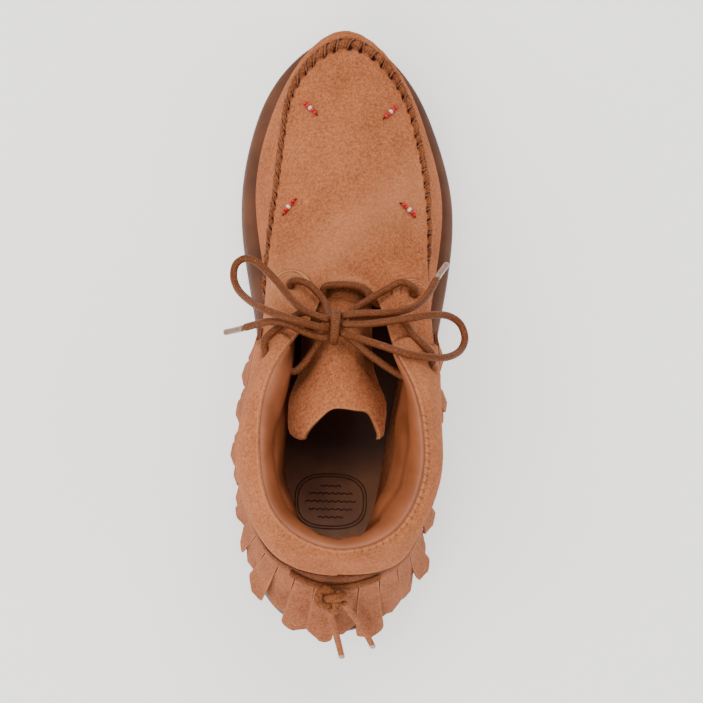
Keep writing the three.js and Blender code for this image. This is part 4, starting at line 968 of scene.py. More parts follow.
class BOOT_OT_sole(BootOperator):
    """Makes the ribbed rubber outsole with its tread bars, the foam midsole and the stamped insole"""

    bl_idname = "boot.sole"
    bl_label = "Sole"

    def make(self, sizes, colours):
        # Columns start half a step off the heel, so that the ring's points face each other across the boot.
        columns = 520
        turn = (np.arange(columns) + 0.5) * TURN / columns
        rubber = MATERIALS["rubber"]

        def floor_of(y):
            return tread_at(y) + TREAD_DEPTH * on_flat_spot(y)

        def low_side(y):
            return np.maximum(floor_of(y), tread_at(y) + 0.5 * OUTSOLE_THICKNESS)

        rings = [sole_ring(turn, TREAD_INSET, floor_of), sole_ring(turn, 0.9, low_side)]
        # The heel's ribs are cosine grooves that fade out towards the waist.
        ribs = 4
        for k in range(8 * ribs + 1):
            share = k / (8 * ribs)
            groove = 0.5 + 0.5 * math.cos(2 * math.pi * ribs * share)

            def depth(y, groove=groove):
                return 0.9 * groove**1.5 * (1 - smooth(0.28 * LENGTH, 0.4 * LENGTH, y))

            def height(y, share=share):
                return mix(tread_at(y) + 0.8 * OUTSOLE_THICKNESS, wrap_top_at(y), share)

            rings.append(sole_ring(turn, depth, height))
        rings += [
            sole_ring(turn, 0.5 * OUTSOLE_WALL, lambda y: wrap_top_at(y) + 0.25),
            sole_ring(turn, OUTSOLE_WALL, wrap_top_at),
            sole_ring(turn, OUTSOLE_WALL, lambda y: tread_at(y) + OUTSOLE_THICKNESS),
        ]
        dress(ring_body("rubber_outsole", rings, rubber), "sole_rubber", "outsole")
        self.tread_bars(rubber)

        def between(share):
            return lambda y: mix(wrap_top_at(y) + CLEARANCE, stack_height(y), share)

        seat = OUTSOLE_WALL + CLEARANCE
        # The midsole's profile: share of its height, then how far in it lies; the groove is at 0.6.
        steps = (
            (0, 0.9), (0.02, 0.5), (0.1, 0.25), (0.3, 0.0), (0.45, 0.1), (0.55, 0.4), (0.565, 1.5), (0.6, 1.9),
            (0.65, 1.9), (0.67, 0.7), (0.7, 0.55), (0.76, 0.9), (0.82, 1.5), (0.88, 2.4), (0.94, 3.4),
            (0.985, 4.4), (1.0, 5.2),
        )
        rings = [
            sole_ring(turn, seat, lambda y: tread_at(y) + OUTSOLE_THICKNESS + CLEARANCE),
            sole_ring(turn, seat, lambda y: wrap_top_at(y) + CLEARANCE),
        ]
        rings += [sole_ring(turn, inset, between(up)) for up, inset in steps]
        rings.append(sole_ring(turn, SOLE_FLANGE, stack_height))
        dress(ring_body("foam_midsole", rings, MATERIALS["foam"]), "sole_foam", "midsole")

        def board(inset, lift):
            point = foot_line(turn) - plain_normal(wall_line, turn) * (UPPER_WALL + inset)
            point[..., 2] = stack_height(point[..., 1]) + CLEARANCE + lift
            return point

        edge = board(0.8, INSOLE_THICKNESS)
        mirror = edge[::-1]
        inner = [mix(edge, 0.5 * (edge + mirror), s) for s in (0.06, 0.14, 0.3, 0.5, 0.72, 0.92)]
        for s, ring in zip((0.5, 1.0, 1.2, 1.2, 1.2, 1.2), inner):
            ring[..., 2] = stack_height(ring[..., 1]) + CLEARANCE + INSOLE_THICKNESS + 0.35 * s
        rings = [board(1, 0), board(CLEARANCE, 0.4 * INSOLE_THICKNESS), edge, *inner]
        # The insole carries painted shade: slight at its heel, deepening towards the toe, where the boot covers
        # it.
        insole = ring_body(
            "leather_insole", rings, MATERIALS["insole"], lambda y: 0.15 + 0.8 * smooth(64, 92, y))
        dress(insole, "insole_leather", "insole")
        self.stamp()

    def tread_bars(self, rubber):
        """Bars across the tread between its grooves, as wide as the sole's underside at each length."""
        turn = np.linspace(0, ROWS, 300)
        lateral, medial = (sole_ring(way, TREAD_INSET, tread_at) for way in (turn, TURN - turn))
        across = np.linspace(0, 1, 12)
        blocks, faces, count = [], [], 0
        for start, end in FLAT_SPOTS:
            first, last = start * LENGTH, end * LENGTH
            cuts = np.arange(first + TREAD_PITCH / 2, last, TREAD_PITCH)
            grooves = np.repeat(cuts, 2) + np.tile([-0.5, 0.5], len(cuts)) * TREAD_GROOVE
            edges = np.concatenate([[first + 0.1], grooves, [last - 0.1]])
            for low, high in edges.reshape(-1, 2):
                y = np.linspace(low, high, 4)
                right, left = (np.interp(y, edge[:, 1], edge[:, 0]) for edge in (lateral, medial))
                x = mix(left[:, None], right[:, None], across[None])
                slab = [np.stack([x, y[:, None] + 0 * x, z + 0 * x], -1) for z in (0.0, TREAD_DEPTH + 0.3)]
                loop = np.concatenate([slab[0], slab[1][:, ::-1]], 1)
                n = 2 * len(across)
                faces.append(tube_faces(4, n, count))
                blocks.append(loop.reshape(-1, 3))
                count += 4 * n
        bars = make_mesh("tread_bars", np.concatenate(blocks), np.concatenate(faces), rubber)
        dress(bars, "sole_rubber")

    def stamp(self):
        """A plain pressed frame, a double superellipse, with five pressed ribs on the insole's heel."""
        middle = np.array([-3.0, 61.0])
        angle = np.linspace(0, 2 * np.pi, 97)
        round_way = np.stack([np.cos(angle), np.sin(angle)], -1)
        corner = np.sign(round_way) * np.abs(round_way) ** 0.75
        lines = [middle + corner * np.array(half) for half in ((17.0, 13.2), (15.7, 11.9))]
        for rank, half in ((-7.6, 6), (-3.8, 10.5), (0, 12), (3.8, 10.5), (7.4, 5)):
            x = np.linspace(-half, half, 97)
            lines.append(middle + np.stack([x, rank + 0.25 * np.sign(np.sin(x * 2.2))], -1))
        flat = np.stack(lines)
        top = stack_height(flat[..., 1]) + CLEARANCE + INSOLE_THICKNESS + 0.5
        pressed = np.concatenate([flat, top[..., None]], -1)
        press = many_tubes("insole_frame", pressed, 0.34, MATERIALS["press"], 6, flat=0.5)
        dress(press, "insole_leather")


def creases(point, front):
    """Soft troughs and ridges over the vamp where the boot has flexed, as bells along slanted lines in plan.
    Each line is given by a point, the way that it runs in degrees, its length, its width and its height."""
    flex = (
        (2, 182, 38, 30, 7.5, 0.9), (-8, 201, 42, 26, 6.0, -0.75), (12, 166, 30, 24, 6.5, -0.8),
        (-14, 228, 60, 20, 8.0, -0.45), (16, 236, -50, 18, 8.0, -0.5), (-20, 176, -35, 14, 5.0, -0.6),
        (22, 190, 100, 20, 5.0, -0.5),
    )
    total = np.zeros(point.shape[:-1])
    for x, y, way, length, width, height in flex:
        c, s = math.cos(math.radians(way)), math.sin(math.radians(way))
        along = (point[..., 0] - x) * c + (point[..., 1] - y) * s
        across = (point[..., 1] - y) * c - (point[..., 0] - x) * s
        total += 1.35 * height * bump(along, length) * bump(across + 1.5 * np.sin(along / 9), width)
    return total * front


def flap_edge(level):
    """The turn, from the heel, at which the collar band ends in front."""
    return mix(5.35, 6.15, smooth(0.6, 1.0, level))


# The turns at which the heel thong passes through the band's lower edge; its slits there are painted shade.
THONG_SLITS = (-0.9, 0.78)


def suede_relief(turn, level, sizes):
    """How far the suede stands off the plain surface, how much painted shade it has there, and how much paler
    wear and painted highlight.
    """
    here = skin(turn, level)
    heel = from_heel(turn)
    ridge = skin(turn, np.full(np.shape(level), RIDGE_LEVEL))
    off = np.linalg.norm(here - ridge, axis=-1) * np.sign(level - RIDGE_LEVEL)
    front = smooth(4.6, 5.3, heel)
    under = -1.6 * front * (1 - smooth(3.0, 4.3, np.abs(off)))
    phase = 2 * np.pi * seam_length(turn) / sizes.seam_pitch
    reach = np.where(level < RIDGE_LEVEL, 8.5, 5.5)
    pucker = -0.7 * sizes.pucker * front * np.cos(phase - 0.22 * off) * bump(off, reach)
    band = smooth(BAND_LEVEL - 0.012, BAND_LEVEL + 0.004, level)
    behind = 1 - smooth(-0.04, 0.04, heel - flap_edge(level))
    uneven = 1 + 0.25 * np.sin(2.3 * turn + 9 * level)
    swell = BAND_STEP * band * behind * (1 - smooth(0.93, 1.0, level)) * uneven
    out = under + pucker + swell + creases(here, front * smooth(0.4, 0.5, level))
    dark, border = np.zeros(out.shape), np.zeros(out.shape)
    for name in ("tab_lateral", "tab_medial"):
        centre = skin(*(np.array(v) for v in EYELETS[name]))
        away = np.linalg.norm(here - centre, axis=-1)
        toeward = smooth(-3.0, 2.0, here[..., 1] - centre[1])
        out += 1.3 * (1 - smooth(TAB_RADIUS - 0.4, TAB_RADIUS + 0.5, away)) * toeward
        out -= 0.55 * bump(away - TAB_RADIUS + 3.2, 0.7) * toeward
        # Painted shade just outside each tab's raised edge and in the groove inside it, and paler arcs along its
        # border.
        lines = 0.75 * bump(away - TAB_RADIUS - 0.7, 0.5) + 0.45 * bump(away - TAB_RADIUS + 3.2, 0.5)
        dark += lines * toeward
        border += (bump(away - TAB_RADIUS + 0.5, 0.6) + 0.8 * bump(away - TAB_RADIUS + 2.3, 0.5)) * toeward
    for name in EYELETS:
        away = np.linalg.norm(here - skin(*(np.array(v) for v in EYELETS[name])), axis=-1)
        out -= 2.0 * bump(away, 2.3)
        # Painted shade in each eyelet's pit.
        dark += bump(away, 2.4)
    # Painted shadow in front of the band's front edge.
    dark += 0.55 * bump(heel - flap_edge(level) - 0.05, 0.035) * band
    # Each slit is painted shade on the band, with no cut in the suede.
    for slit in THONG_SLITS:
        signed = np.mod(turn + ROWS, TURN) - ROWS
        dark += 0.95 * bump(signed - slit, 0.09) * bump(level - BAND_LEVEL - 0.022, 0.009)
    # Painted shade along both sides of the apron seam.
    dark += 0.45 * front * (1 - smooth(2.0, 4.6, np.abs(off)))
    # Paler suede at the rim, along the band's ledge, over the whole band and on the tabs' borders.
    wear_and_painted_highlight = 0.35 * smooth(0.985, 1.0, level) + 0.25 * bump(level - BAND_LEVEL - 0.02, 0.012) * behind
    # A painted highlight runs slantwise over the vamp, along its main flex crease.
    slant = here[..., 1] - 182.0 - 0.85 * (here[..., 0] - 1.5)
    painted_crease_highlight = bump(slant, 17.0) * smooth(RIDGE_LEVEL, RIDGE_LEVEL + 0.08, level)
    wear_and_painted_highlight = wear_and_painted_highlight + 0.9 * np.clip(border, 0, 1) + 0.3 * front * painted_crease_highlight + 0.12 * band * behind
    return out, np.clip(dark, 0, 1), np.clip(wear_and_painted_highlight, 0, 1)


SEAM_FINE = np.linspace(0, TURN, 4000)
SEAM_RUN = skin(SEAM_FINE, RIDGE_LEVEL)
SEAM_SUM = run_along(SEAM_RUN)


def seam_length(turn):
    """Length along the apron seam from the heel to a turn."""
    return np.interp(np.mod(turn, TURN), SEAM_FINE, SEAM_SUM)


class BOOT_OT_upper(BootOperator):
    """Makes the suede upper: the lower wall with its gathers, the apron with its tabs, and the collar band"""

    bl_idname = "boot.upper"
    bl_label = "Suede upper"

    def make(self, sizes, colours):
        suede_skin = MATERIALS["suede"]
        parts = (
            ("upper_wall", 720, np.linspace(0, RIDGE_LEVEL, 44), 0.2),
            ("upper_apron", 620, np.unique(np.concatenate([
                np.linspace(RIDGE_LEVEL, 0.46, 16), np.linspace(0.46, 0.64, 22), np.linspace(0.64, 0.67, 9),
                np.linspace(0.67, 0.97, 44), np.linspace(0.97, 1.0, 8)])), 0.6),
        )
        for name, columns, levels, even_at in parts:
            turn = even_turns(columns + 1, even_at)[0][:-1, None]
            out, dark, wear_and_painted_highlight = suede_relief(turn, levels[None], sizes)
            outer = off_skin(turn, levels[None] + 0 * turn, out)
            inside = np.linspace(levels[-1], levels[0], 16)[None]
            inner = off_skin(turn, inside + 0 * turn, np.full((columns, 16), -UPPER_WALL))
            rim = [] if name == "upper_wall" else [
                off_skin(turn, np.full((columns, 1), 1.0) + 0.004, np.full((columns, 1), -0.5 * UPPER_WALL))]
            grid = np.concatenate([outer, *rim, inner], 1)
            more = grid.shape[1] - outer.shape[1]
            blank = np.zeros((columns, more))
            # The rim and the inner faces take a little painted shade.
            piece = profile_piece(name, grid, suede_skin, True, {
                "dark": np.concatenate([dark, blank + 0.12], 1), "wear_and_painted_highlight": np.concatenate([wear_and_painted_highlight, blank], 1)})
            dress(piece, "suede", "upper")
        self.tab_stitches(sizes)

    def tab_stitches(self, sizes):
        """Small stitches inside each tab's edge, along an arc round its eyelet."""
        dashes = []
        angle = np.radians(np.arange(-10.0, 190.0, 12.0))[:, None] + np.radians(np.linspace(-4.0, 4.0, 5))[None]
        reach = TAB_RADIUS - 3.0
        for name in ("tab_lateral", "tab_medial"):
            turn, level = near_plan(EYELETS[name], reach * np.cos(angle), reach * np.sin(angle))
            out, _, _ = suede_relief(turn, level, sizes)
            dashes.append(off_skin(turn, level, out + 0.12 + 0.12 * np.array([-2, 0.6, 1, 0.6, -2])[None]))
        piece = many_tubes("tab_stitches", np.concatenate(dashes), 0.32, MATERIALS["tab_thread"], 6)
        dress(piece, "suede")


class BOOT_OT_seam(BootOperator):
    """Makes the gathered ridge round the apron and the whip stitches that cross it"""

    bl_idname = "boot.seam"
    bl_label = "Apron seam"

    def ridge(self, turn, off, sizes):
        """Height of the seam strip: a rounded ridge pinched at each stitch, with a pit at both ends of it."""
        phase = seam_length(turn) / sizes.seam_pitch
        run = phase * sizes.seam_pitch
        wander = 0.4 * np.sin(1.7 * phase) + 0.35 * np.sin(4.1 * phase + 1)
        lean = phase - 0.06 * off + 0.08 * np.sin(2.9 * phase)
        lobe = np.abs(np.sin(np.pi * lean)) ** 0.6
        size = 1 + 0.25 * np.sin(2.2 * phase + 0.4) * np.sin(0.9 * phase)
        top = (0.95 + 0.8 * lobe) * size * bump(off - 0.5 * wander, 1.7 + 0.4 * lobe)
        folds = 0.32 * np.sin(2 * np.pi * 2 * lean + 1.3) * bump(np.abs(off) - 2.2, 1.3)
        ragged = np.sin(3.1 * run + 1.7 * off) * np.sin(1.3 * run - 2.9 * off + 1)
        ragged = ragged + 0.6 * np.sin(5.3 * run - 3.1 * off)
        to_stitch = (lean - np.round(lean)) * sizes.seam_pitch
        pits = bump(to_stitch, 1.05) * (bump(off - 2.9, 0.95) + bump(off + 2.8, 0.9))
        edge = -0.5 + 0.62 * (1 - smooth(3.9, 5.0, np.abs(off)))
        height = edge + top + folds + 0.2 * ragged * bump(off, 2.8) - 1.1 * pits
        # Painted shade in the pits, in the pinches between lobes and on both flanks, and an uneven darkening over
        # the ridge itself.
        dark = 0.9 * pits + 0.55 * (1 - lobe) * bump(off, 2.8) + 0.42 * bump(np.abs(off) - 2.5, 1.2)
        dark = dark + (0.36 + 0.24 * ragged) * bump(off, 2.8)
        return height, np.clip(dark, 0, 1)

    def place(self, turn, off, height):
        """A point beside the seam line: off along the surface across the seam, height along its normal."""
        level = np.full(np.shape(turn), RIDGE_LEVEL)
        mm_up = np.linalg.norm(skin(turn, level + 0.02) - skin(turn, level - 0.02), axis=-1) / 0.04
        target = level + off / mm_up
        base = skin(turn, target)
        return base + skin_normal(turn, np.clip(target, 0, 1)) * np.asarray(height)[..., None]

    def make(self, sizes, colours):
        start, end = 5.0, TURN - 5.0
        turn = even_turns(980, RIDGE_LEVEL, start, end)[0]
        off = np.linspace(-5.0, 5.0, 44)
        grid_turn, grid_off = np.broadcast_arrays(turn[:, None], off[None])
        height, dark = self.ridge(grid_turn, grid_off, sizes)
        fade = smooth(start, start + 0.15, grid_turn) * (1 - smooth(end - 0.15, end, grid_turn))
        outer = self.place(grid_turn, grid_off, mix(-0.6, height, fade))
        inner = self.place(grid_turn[:, ::4], grid_off[:, ::4], np.full(grid_off[:, ::4].shape, -0.9))
        grid = np.concatenate([outer, inner[:, ::-1]], 1)
        if grid.shape[1] % 2:
            grid, dark = grid[:, :-1], dark
        more = grid.shape[1] - outer.shape[1]
        strip = profile_piece("apron_seam", grid, MATERIALS["suede"], False, {
            "dark": np.concatenate([dark, np.zeros((len(turn), more))], 1)})
        dress(strip, "suede")

        first, last = seam_length(np.array([start + 0.2, end - 0.2]))
        count = int((last - first) / sizes.seam_pitch)
        at = (np.ceil(first / sizes.seam_pitch) + np.arange(count)) * sizes.seam_pitch
        side = np.linspace(-2.9, 3.0, 13)[None]
        ragged = 0.9 * np.sin(3.7 * np.arange(count))[:, None]
        run = at[:, None] + 0.36 * side + ragged * side / 3 + 0 * side
        turn = np.interp(run, SEAM_SUM, SEAM_FINE)
        off = np.broadcast_to(side, turn.shape)
        height, _ = self.ridge(turn, off, sizes)
        lift = np.maximum(height, 1.1 * bump(off, 2.4)) + 0.22 - 1.3 * smooth(2.2, 3.1, np.abs(off))
        stitches = many_tubes(
            "seam_stitches", self.place(turn, off, lift), 0.5 * sizes.seam_thread, MATERIALS["thread"], 8)
        dress(stitches, "suede")


class BOOT_OT_collar(BootOperator):
    """Makes the padded leather lining rolled over the collar's rim, with its stitches"""

    bl_idname = "boot.collar"
    bl_label = "Collar lining"

    # The lining's section from the suede side over the rim: level, share of the pad's thickness, and how far in
    # from the suede's outer face it starts
    SECTION = (
        (0.56, 0.0, 2.8), (0.66, 0.0, 2.8), (0.78, 0.0, 2.8), (0.9, 0.0, 2.8), (0.965, 0.0, 2.5),
        (0.993, 0.0, 1.3), (1.012, 0.05, 0.7), (1.018, 0.14, 1.0), (1.006, 0.3, 1.8), (0.975, 0.5, 2.6),
        (0.93, 0.7, 2.8), (0.86, 0.87, 2.8), (0.78, 1.0, 2.8), (0.69, 1.08, 2.8), (0.615, 1.1, 2.8),
        (0.57, 1.0, 2.8), (0.545, 0.72, 2.8), (0.54, 0.36, 2.8),
    )
    # Each pucker of the lining: its turn, its width in turns and its depth in millimetres
    PUCKERS = (
        (-0.08, 0.07, 2.6), (0.5, 0.06, 2.0), (-0.62, 0.08, 1.4), (1.25, 0.13, 0.8), (-1.2, 0.15, 0.8),
        (2.6, 0.25, 0.7), (-2.7, 0.3, 0.7), (-4.1, 0.2, 0.5), (4.0, 0.2, 0.5),
    )

    def make(self, sizes, colours):
        section = np.array([*self.SECTION, self.SECTION[0]])
        rows = 76
        fine = np.linspace(0, len(self.SECTION), rows, endpoint=False)
        level, share, seat = (closed_spline(section[:-1, k])(fine) for k in range(3))
        turn = even_turns(520, 0.9, -6.1, 6.1)[0]
        pad = np.maximum(1.6, LINING_PAD * cuff_thickness(turn))[:, None]
        share, level, seat = share[None], level[None] + 0 * pad, seat[None]
        inside = smooth(0.25, 0.9, share)
        gathers = sum(depth * bump(turn - at, width) for at, width, depth in self.PUCKERS)
        gathers = gathers[:, None] * smooth(1.0, 0.9, level)
        waves = 0.5 * np.sin(4.3 * turn + 1)[:, None] * np.sin(9 * level + 2) * inside
        out = -(seat + pad * share) + inside * gathers + waves
        grid = off_skin(turn[:, None], level, out)
        # Painted shade deep down the inside, most on the medial side, and in the puckers, with a dark line along
        # the rim where the lining meets the suede.
        lower_painted_shade = mix(0.12, 0.85, smooth(1.0, -1.0, turn))[:, None] * smooth(0.8, 0.56, level) * inside
        fold = 0.25 * bump(share - 0.03, 0.04) * smooth(0.95, 0.99, level)
        shade = np.clip(lower_painted_shade + 0.25 * gathers, 0, 0.9) + fold
        piece = profile_piece("collar_lining", grid, MATERIALS["lining"], False, {"dark": np.clip(shade, 0, 1)})
        dress(piece, "lining_leather", "collar_cuff")
        self.counter()
        self.rim_stitches(sizes)

    # How far the quarter's inner sheet stands off the foot line at the insole, in millimetres, by the turn
    COUNTER = (
        (-6, 5), (-5, 6), (-4, 7), (-3, 8.5), (-2, 16), (-1, 26), (0, 30), (1, 27), (2, 20), (3, 13.5), (4, 9),
        (5, 7), (6, 5),
    )

    def counter(self):
        """The raw suede inside the quarter: a sheet that hangs from inside the lining straight down to the
        insole, each column a line from its top to its foot with a slight belly."""
        turn = even_turns(300, 0.5, -5.9, 5.9)[0]
        reach = open_spline(*zip(*self.COUNTER))(turn)[:, None]
        top = off_skin(turn, np.full(turn.shape, 0.6), -2.8 - 0.95 * LINING_PAD * cuff_thickness(turn))
        away = plain_normal(wall_line, turn)
        foot = foot_line(turn) - reach * away
        foot[:, 2] += INSOLE_THICKNESS
        down = np.linspace(0, 1, 40)[None, :, None]
        sheet = mix(top[:, None], foot[:, None], down)
        wave = np.sin(4 * turn[:, None, None] + 5 * down)
        belly = (1.2 + 0.4 * wave) * np.sin(np.pi * down)
        face = sheet + away[:, None] * belly
        grid = np.concatenate([face, (face + 1.3 * away[:, None])[:, ::-1]], 1)
        plain = {"dark": np.zeros(grid.shape[:2])}
        piece = profile_piece("quarter_inside", grid, MATERIALS["suede"], False, plain)
        dress(piece, "suede")

    def rim_stitches(self, sizes):
        """Slanted overcast stitches along the rim, which show only on the lateral side towards the heel."""
        stretch = (0.99, 0.3, 4.2)
        count = int(even_turns(10, *stretch)[1] / sizes.collar_stitch)
        turn = even_turns(count, *stretch)[0][:, None] + np.linspace(-0.012, 0.012, 5)[None]
        level = np.broadcast_to(np.linspace(0.978, 1.004, 5)[None], turn.shape)
        out = np.array([0.3, 0.7, 0.7, 0.3, -0.5])[None] + 0 * turn
        piece = many_tubes("collar_stitches", off_skin(turn, level, out - 0.15), 0.17, MATERIALS["thread"], 6)
        dress(piece, "suede")


# The tongue's arch from under the throat to its free end: shares of LENGTH and INSTEP_HEIGHT, half its width as a
# share of BALL_WIDTH, and how far its sides droop in shares of that half
TONGUE_ROWS = (
    (0.615, 0.74, 0.15, 0.36), (0.57, 0.84, 0.162, 0.5), (0.53, 0.905, 0.162, 0.62), (0.47, 1.045, 0.15, 0.68),
    (0.41, 1.19, 0.155, 0.74), (0.36, 1.275, 0.183, 0.66), (0.317, 1.31, 0.202, 0.56),
)


class BOOT_OT_tongue(BootOperator):
    """Makes the arched suede tongue with its hollow free end and drooping corners"""

    bl_idname = "boot.tongue"
    bl_label = "Tongue"

    # Its left and right edge in plan: length share, then shares of the ball's width
    EDGES = (
        (0.277, -0.195, 0.134), (0.281, -0.219, 0.15), (0.286, -0.232, 0.162), (0.294, -0.24, 0.167),
        (0.305, -0.243, 0.17), (0.32, -0.242, 0.176), (0.338, -0.24, 0.176), (0.352, -0.232, 0.166),
        (0.365, -0.217, 0.15), (0.378, -0.203, 0.14), (0.392, -0.193, 0.13), (0.406, -0.188, 0.126),
        (0.426, -0.186, 0.124), (0.473, -0.184, 0.124), (0.54, -0.184, 0.122), (0.63, -0.184, 0.118),
    )
    # Its end from left to right: place across, then length share
    END = (
        (-1, 0.2774), (-0.8, 0.2794), (-0.56, 0.2922), (-0.35, 0.3064), (-0.17, 0.3179), (0, 0.3206),
        (0.44, 0.3186), (0.65, 0.3152), (0.82, 0.2986), (0.93, 0.2861), (1, 0.28),
    )

    def make(self, sizes, colours):
        columns, rows = 90, 130
        last = len(TONGUE_ROWS) - 1
        table = np.array(TONGUE_ROWS)
        r = np.linspace(0, last, rows)[None]
        along, up, half, droop = (open_spline(range(last + 1), table[:, k])(r) for k in range(4))
        side = np.linspace(1, -1, columns)[:, None]

        end = open_spline(*zip(*self.END))(side) * LENGTH
        free = np.clip((r - 3) / (last - 3), 0, 1)

        def face(drop):
            y = np.where(r < 3, along * LENGTH, mix(TONGUE_ROWS[3][0] * LENGTH, end, free))
            share, *sides = zip(*self.EDGES)
            left, right = (np.interp(y / LENGTH, share, edge) for edge in sides)
            x = mix(left, right, 0.5 * side + 0.5) * BALL_WIDTH
            x = x - np.abs(side) ** 1.3 * np.sign(side) * drop * 0.7
            z = up * INSTEP_HEIGHT - half * BALL_WIDTH * droop * side**2 - drop
            z = z - 8.0 * smooth(0.4, 1.0, np.abs(side)) * bump(y / LENGTH - 0.43, 0.05)
            curl = smooth(5.0, 6.0, r) * smooth(0.45, 0.95, side) * 1.5
            wave = 0.35 * np.sin(1.9 * r + 2.2 * side) + 0.3 * np.sin(3.3 * side - 0.7 * r) + curl
            return np.stack([x, y, z + wave], -1)

        outer, inner = face(0.0), face(TONGUE_THICKNESS)
        edge = np.maximum(smooth(0.94, 1.0, np.abs(side)) + 0 * r, smooth(5.9, 6.0, r) + 0 * side)
        # Painted shade on the sides that droop away under the laces, and on the underside; the edges are paler.
        painted_shade = 0.8 * smooth(0.5, 0.8, np.abs(side)) * bump(outer[..., 1] / LENGTH - 0.425, 0.036)
        marks = {
            "wear_and_painted_highlight": np.concatenate([0.3 * edge * (1 - painted_shade), 0 * edge], 1),
            "dark": np.concatenate([painted_shade, 0.3 + 0 * edge], 1),
        }
        grid = np.concatenate([outer, inner[:, ::-1]], 1)
        piece = profile_piece("suede_tongue", grid, MATERIALS["suede"], False, marks)
        dress(piece, "suede", "tongue")


class BOOT_OT_fringe(BootOperator):
    """Makes the slit suede skirt that hangs from under the collar band"""

    bl_idname = "boot.fringe"
    bl_label = "Fringe"

    def make(self, sizes, colours):
        strips = np.arange(FRINGE_STRIPS)[:, None, None]
        across = np.linspace(0, 1, 10)[None, :, None]
        share = (1 - (1 - np.linspace(0, 1, 46)) ** 1.6)[None, None]
        band = FRINGE_BAND / FRINGE_LENGTH
        low = smooth(band, 1, share)
        pitch = 2 * FRINGE_END / FRINGE_STRIPS
        slit = 0.5 * FRINGE_SLIT / FRINGE_PITCH * pitch * smooth(band - 0.05, band + 0.03, share)
        near_end = np.clip((share - 0.91) / 0.09, 0, 1)
        narrow = 0.5 * (1 - np.cbrt(np.clip(1 - near_end**3, 0.06, 1)))
        inside = 0.5 + (across - 0.5) * (1 - 2 * narrow) * (1 + 0.13 * low)
        turn = -FRINGE_END + strips * pitch + slit / 2 + inside * (pitch - slit)
        lift = 1 + low * (0.16 * np.sin(2.4 * strips + 0.5) + 0.07 * np.sin(5.1 * strips))
        curl = low * 1.2 * (1 - np.abs(2 * across - 1)) + low * 3.0 * np.sin(3.7 * strips) * (across - 0.5)
        twist = 0.35 * np.sin(11 * share + 2.9 * strips) * (across - 0.5)
        wave = low * (0.6 * np.sin(6 * share + 1.7 * strips) + twist)
        # Every other strip lies a little further out, so that neighbours don't cut each other.
        wave = wave + low * 0.85 * (strips % 2)
        shape = (FRINGE_STRIPS, 10, 46)
        turn, share, out, lift = (np.broadcast_to(v, shape) for v in (turn, share, curl + wave, lift))
        outer = skirt(turn, share, out + FRINGE_THICKNESS, lift)
        inner = skirt(turn, share, out, lift)
        loop = np.concatenate([outer, inner[:, :, ::-1]], 2)
        rows = loop.shape[2]
        faces = many_times(tube_faces(10, rows), FRINGE_STRIPS, 10 * rows)
        edge = smooth(0.75, 1.0, np.abs(2 * across - 1)) * smooth(band, band + 0.05, share)
        # Painted shade at the strips' roots, under the band's ledge, and on their backs; their edges are paler.
        root = np.broadcast_to(0.55 * (1 - smooth(0.0, 0.16, share)), shape)
        marks = {
            "wear_and_painted_highlight": np.concatenate([0.25 * edge, 0 * edge], 2),
            "dark": np.concatenate([root, 0.35 + 0 * root], 2),
        }
        piece = make_mesh("fringe_skirt", loop, faces, MATERIALS["fringe"], marks)
        dress(piece, "fringe_suede", "fringe")
        # The flat length is that of the line on which the band's top lies.
        hem = off_skin(
            np.linspace(-FRINGE_END, FRINGE_END, 400), np.full(400, BAND_LEVEL - 0.022), np.full(400, 0.6))
        flat = (line_length(hem) / 1000, FRINGE_LENGTH / 1000)


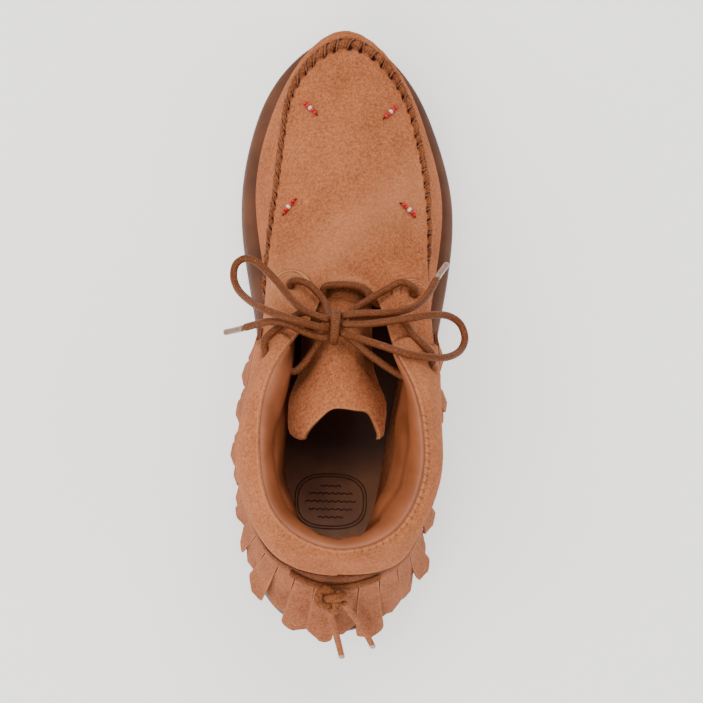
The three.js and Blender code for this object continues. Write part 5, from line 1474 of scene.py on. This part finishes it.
class BOOT_OT_beads(BootOperator):
    """Sews four rows of five glass beads on the apron, red, red, white, red, red"""

    bl_idname = "boot.beads"
    bl_label = "Beads"

    # Each row's turn and level on the apron, and its slant in degrees
    ROWS_OF_BEADS = ((10.83, 0.544, -48), (9.05, 0.528, 48), (12.41, 0.685, 50), (7.73, 0.708, -36))

    def make(self, sizes, colours):
        for number, (turn, level, slant) in enumerate(self.ROWS_OF_BEADS, 1):
            way = np.array([math.cos(math.radians(slant)), math.sin(math.radians(slant))])

            def at(along, lift):
                t, v = near_plan((turn, level), along * way[0], along * way[1])
                out = creases(skin(t, v), 1.0)
                return off_skin(t, v, out + lift)

            rest = 0.5 * BEAD_DIAMETER + 0.1
            centres = (np.arange(5) - 2.0) * BEAD_LENGTH * 1.12
            step = np.linspace(-0.5, 0.5, 9)[None] * BEAD_LENGTH * 1.05
            lines = at(centres[:, None] + step, rest + 0 * step)
            radius = 0.5 * BEAD_DIAMETER * np.array([0.45, 0.78, 0.94, 0.995, 1.0, 0.995, 0.94, 0.78, 0.45])
            up = skin_normal(np.array(turn), np.array(level))
            red = many_tubes(f"bead_red_{number}", lines[[0, 1, 3, 4]], radius, MATERIALS["red"], 14, up)
            dress(red, "bead_glass", f"bead_stitch_{number}")
            white = many_tubes(f"bead_white_{number}", lines[[2]], radius, MATERIALS["white"], 14, up)
            dress(white, "bead_glass")
            span = np.linspace(-1, 1, 25)
            reach = 3.45 * BEAD_LENGTH
            dip = rest - (rest + 0.6) * smooth(0.72, 1.0, np.abs(span))
            run = at(span * reach, dip)[None]
            # The thread takes the awl holes' painted shadow, so that its ends, where it sinks into the suede,
            # show as dark holes.
            thread = many_tubes(f"bead_thread_hole_shadow_{number}", run, 0.34, MATERIALS["hole"], 8, up)
            dress(thread, "waxed_lace")


class BOOT_PT_panel(bpy.types.Panel):
    """Lists the sizes, the colours and the steps in the sidebar"""

    bl_idname = "BOOT_PT_panel"
    bl_label = "Moccasin boot"
    bl_space_type = "VIEW_3D"
    bl_region_type = "UI"
    bl_category = "Boot"

    def draw(self, context):
        for group in (context.scene.boot_sizes, context.scene.boot_colours):
            for name in group.bl_rna.properties.keys():
                if name not in ("rna_type", "name"):
                    self.layout.prop(group, name)
        for step in STEPS:
            self.layout.operator(step.bl_idname)


STEPS = (
    BOOT_OT_stage, BOOT_OT_bow, BOOT_OT_thong, BOOT_OT_sole, BOOT_OT_upper, BOOT_OT_seam, BOOT_OT_collar,
    BOOT_OT_tongue, BOOT_OT_fringe, BOOT_OT_beads,
)
CLASSES = (BootSizes, BootColours, *STEPS, BOOT_PT_panel)


def register():
    for cls in CLASSES:
        bpy.utils.register_class(cls)
    bpy.types.Scene.boot_sizes = bpy.props.PointerProperty(type=BootSizes)
    bpy.types.Scene.boot_colours = bpy.props.PointerProperty(type=BootColours)


def unregister():
    del bpy.types.Scene.boot_sizes
    del bpy.types.Scene.boot_colours
    for cls in reversed(CLASSES):
        bpy.utils.unregister_class(cls)


def main():
    register()
    make_materials()
    for step in STEPS:
        group, name = step.bl_idname.split(".")
        getattr(getattr(bpy.ops, group), name)()
    boxes = {"cad": CAD_BOX, "visual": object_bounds()}
    {key: [list(map(float, corner)) for corner in box] for key, box in boxes.items()}


if __name__ == "__main__":
    main()
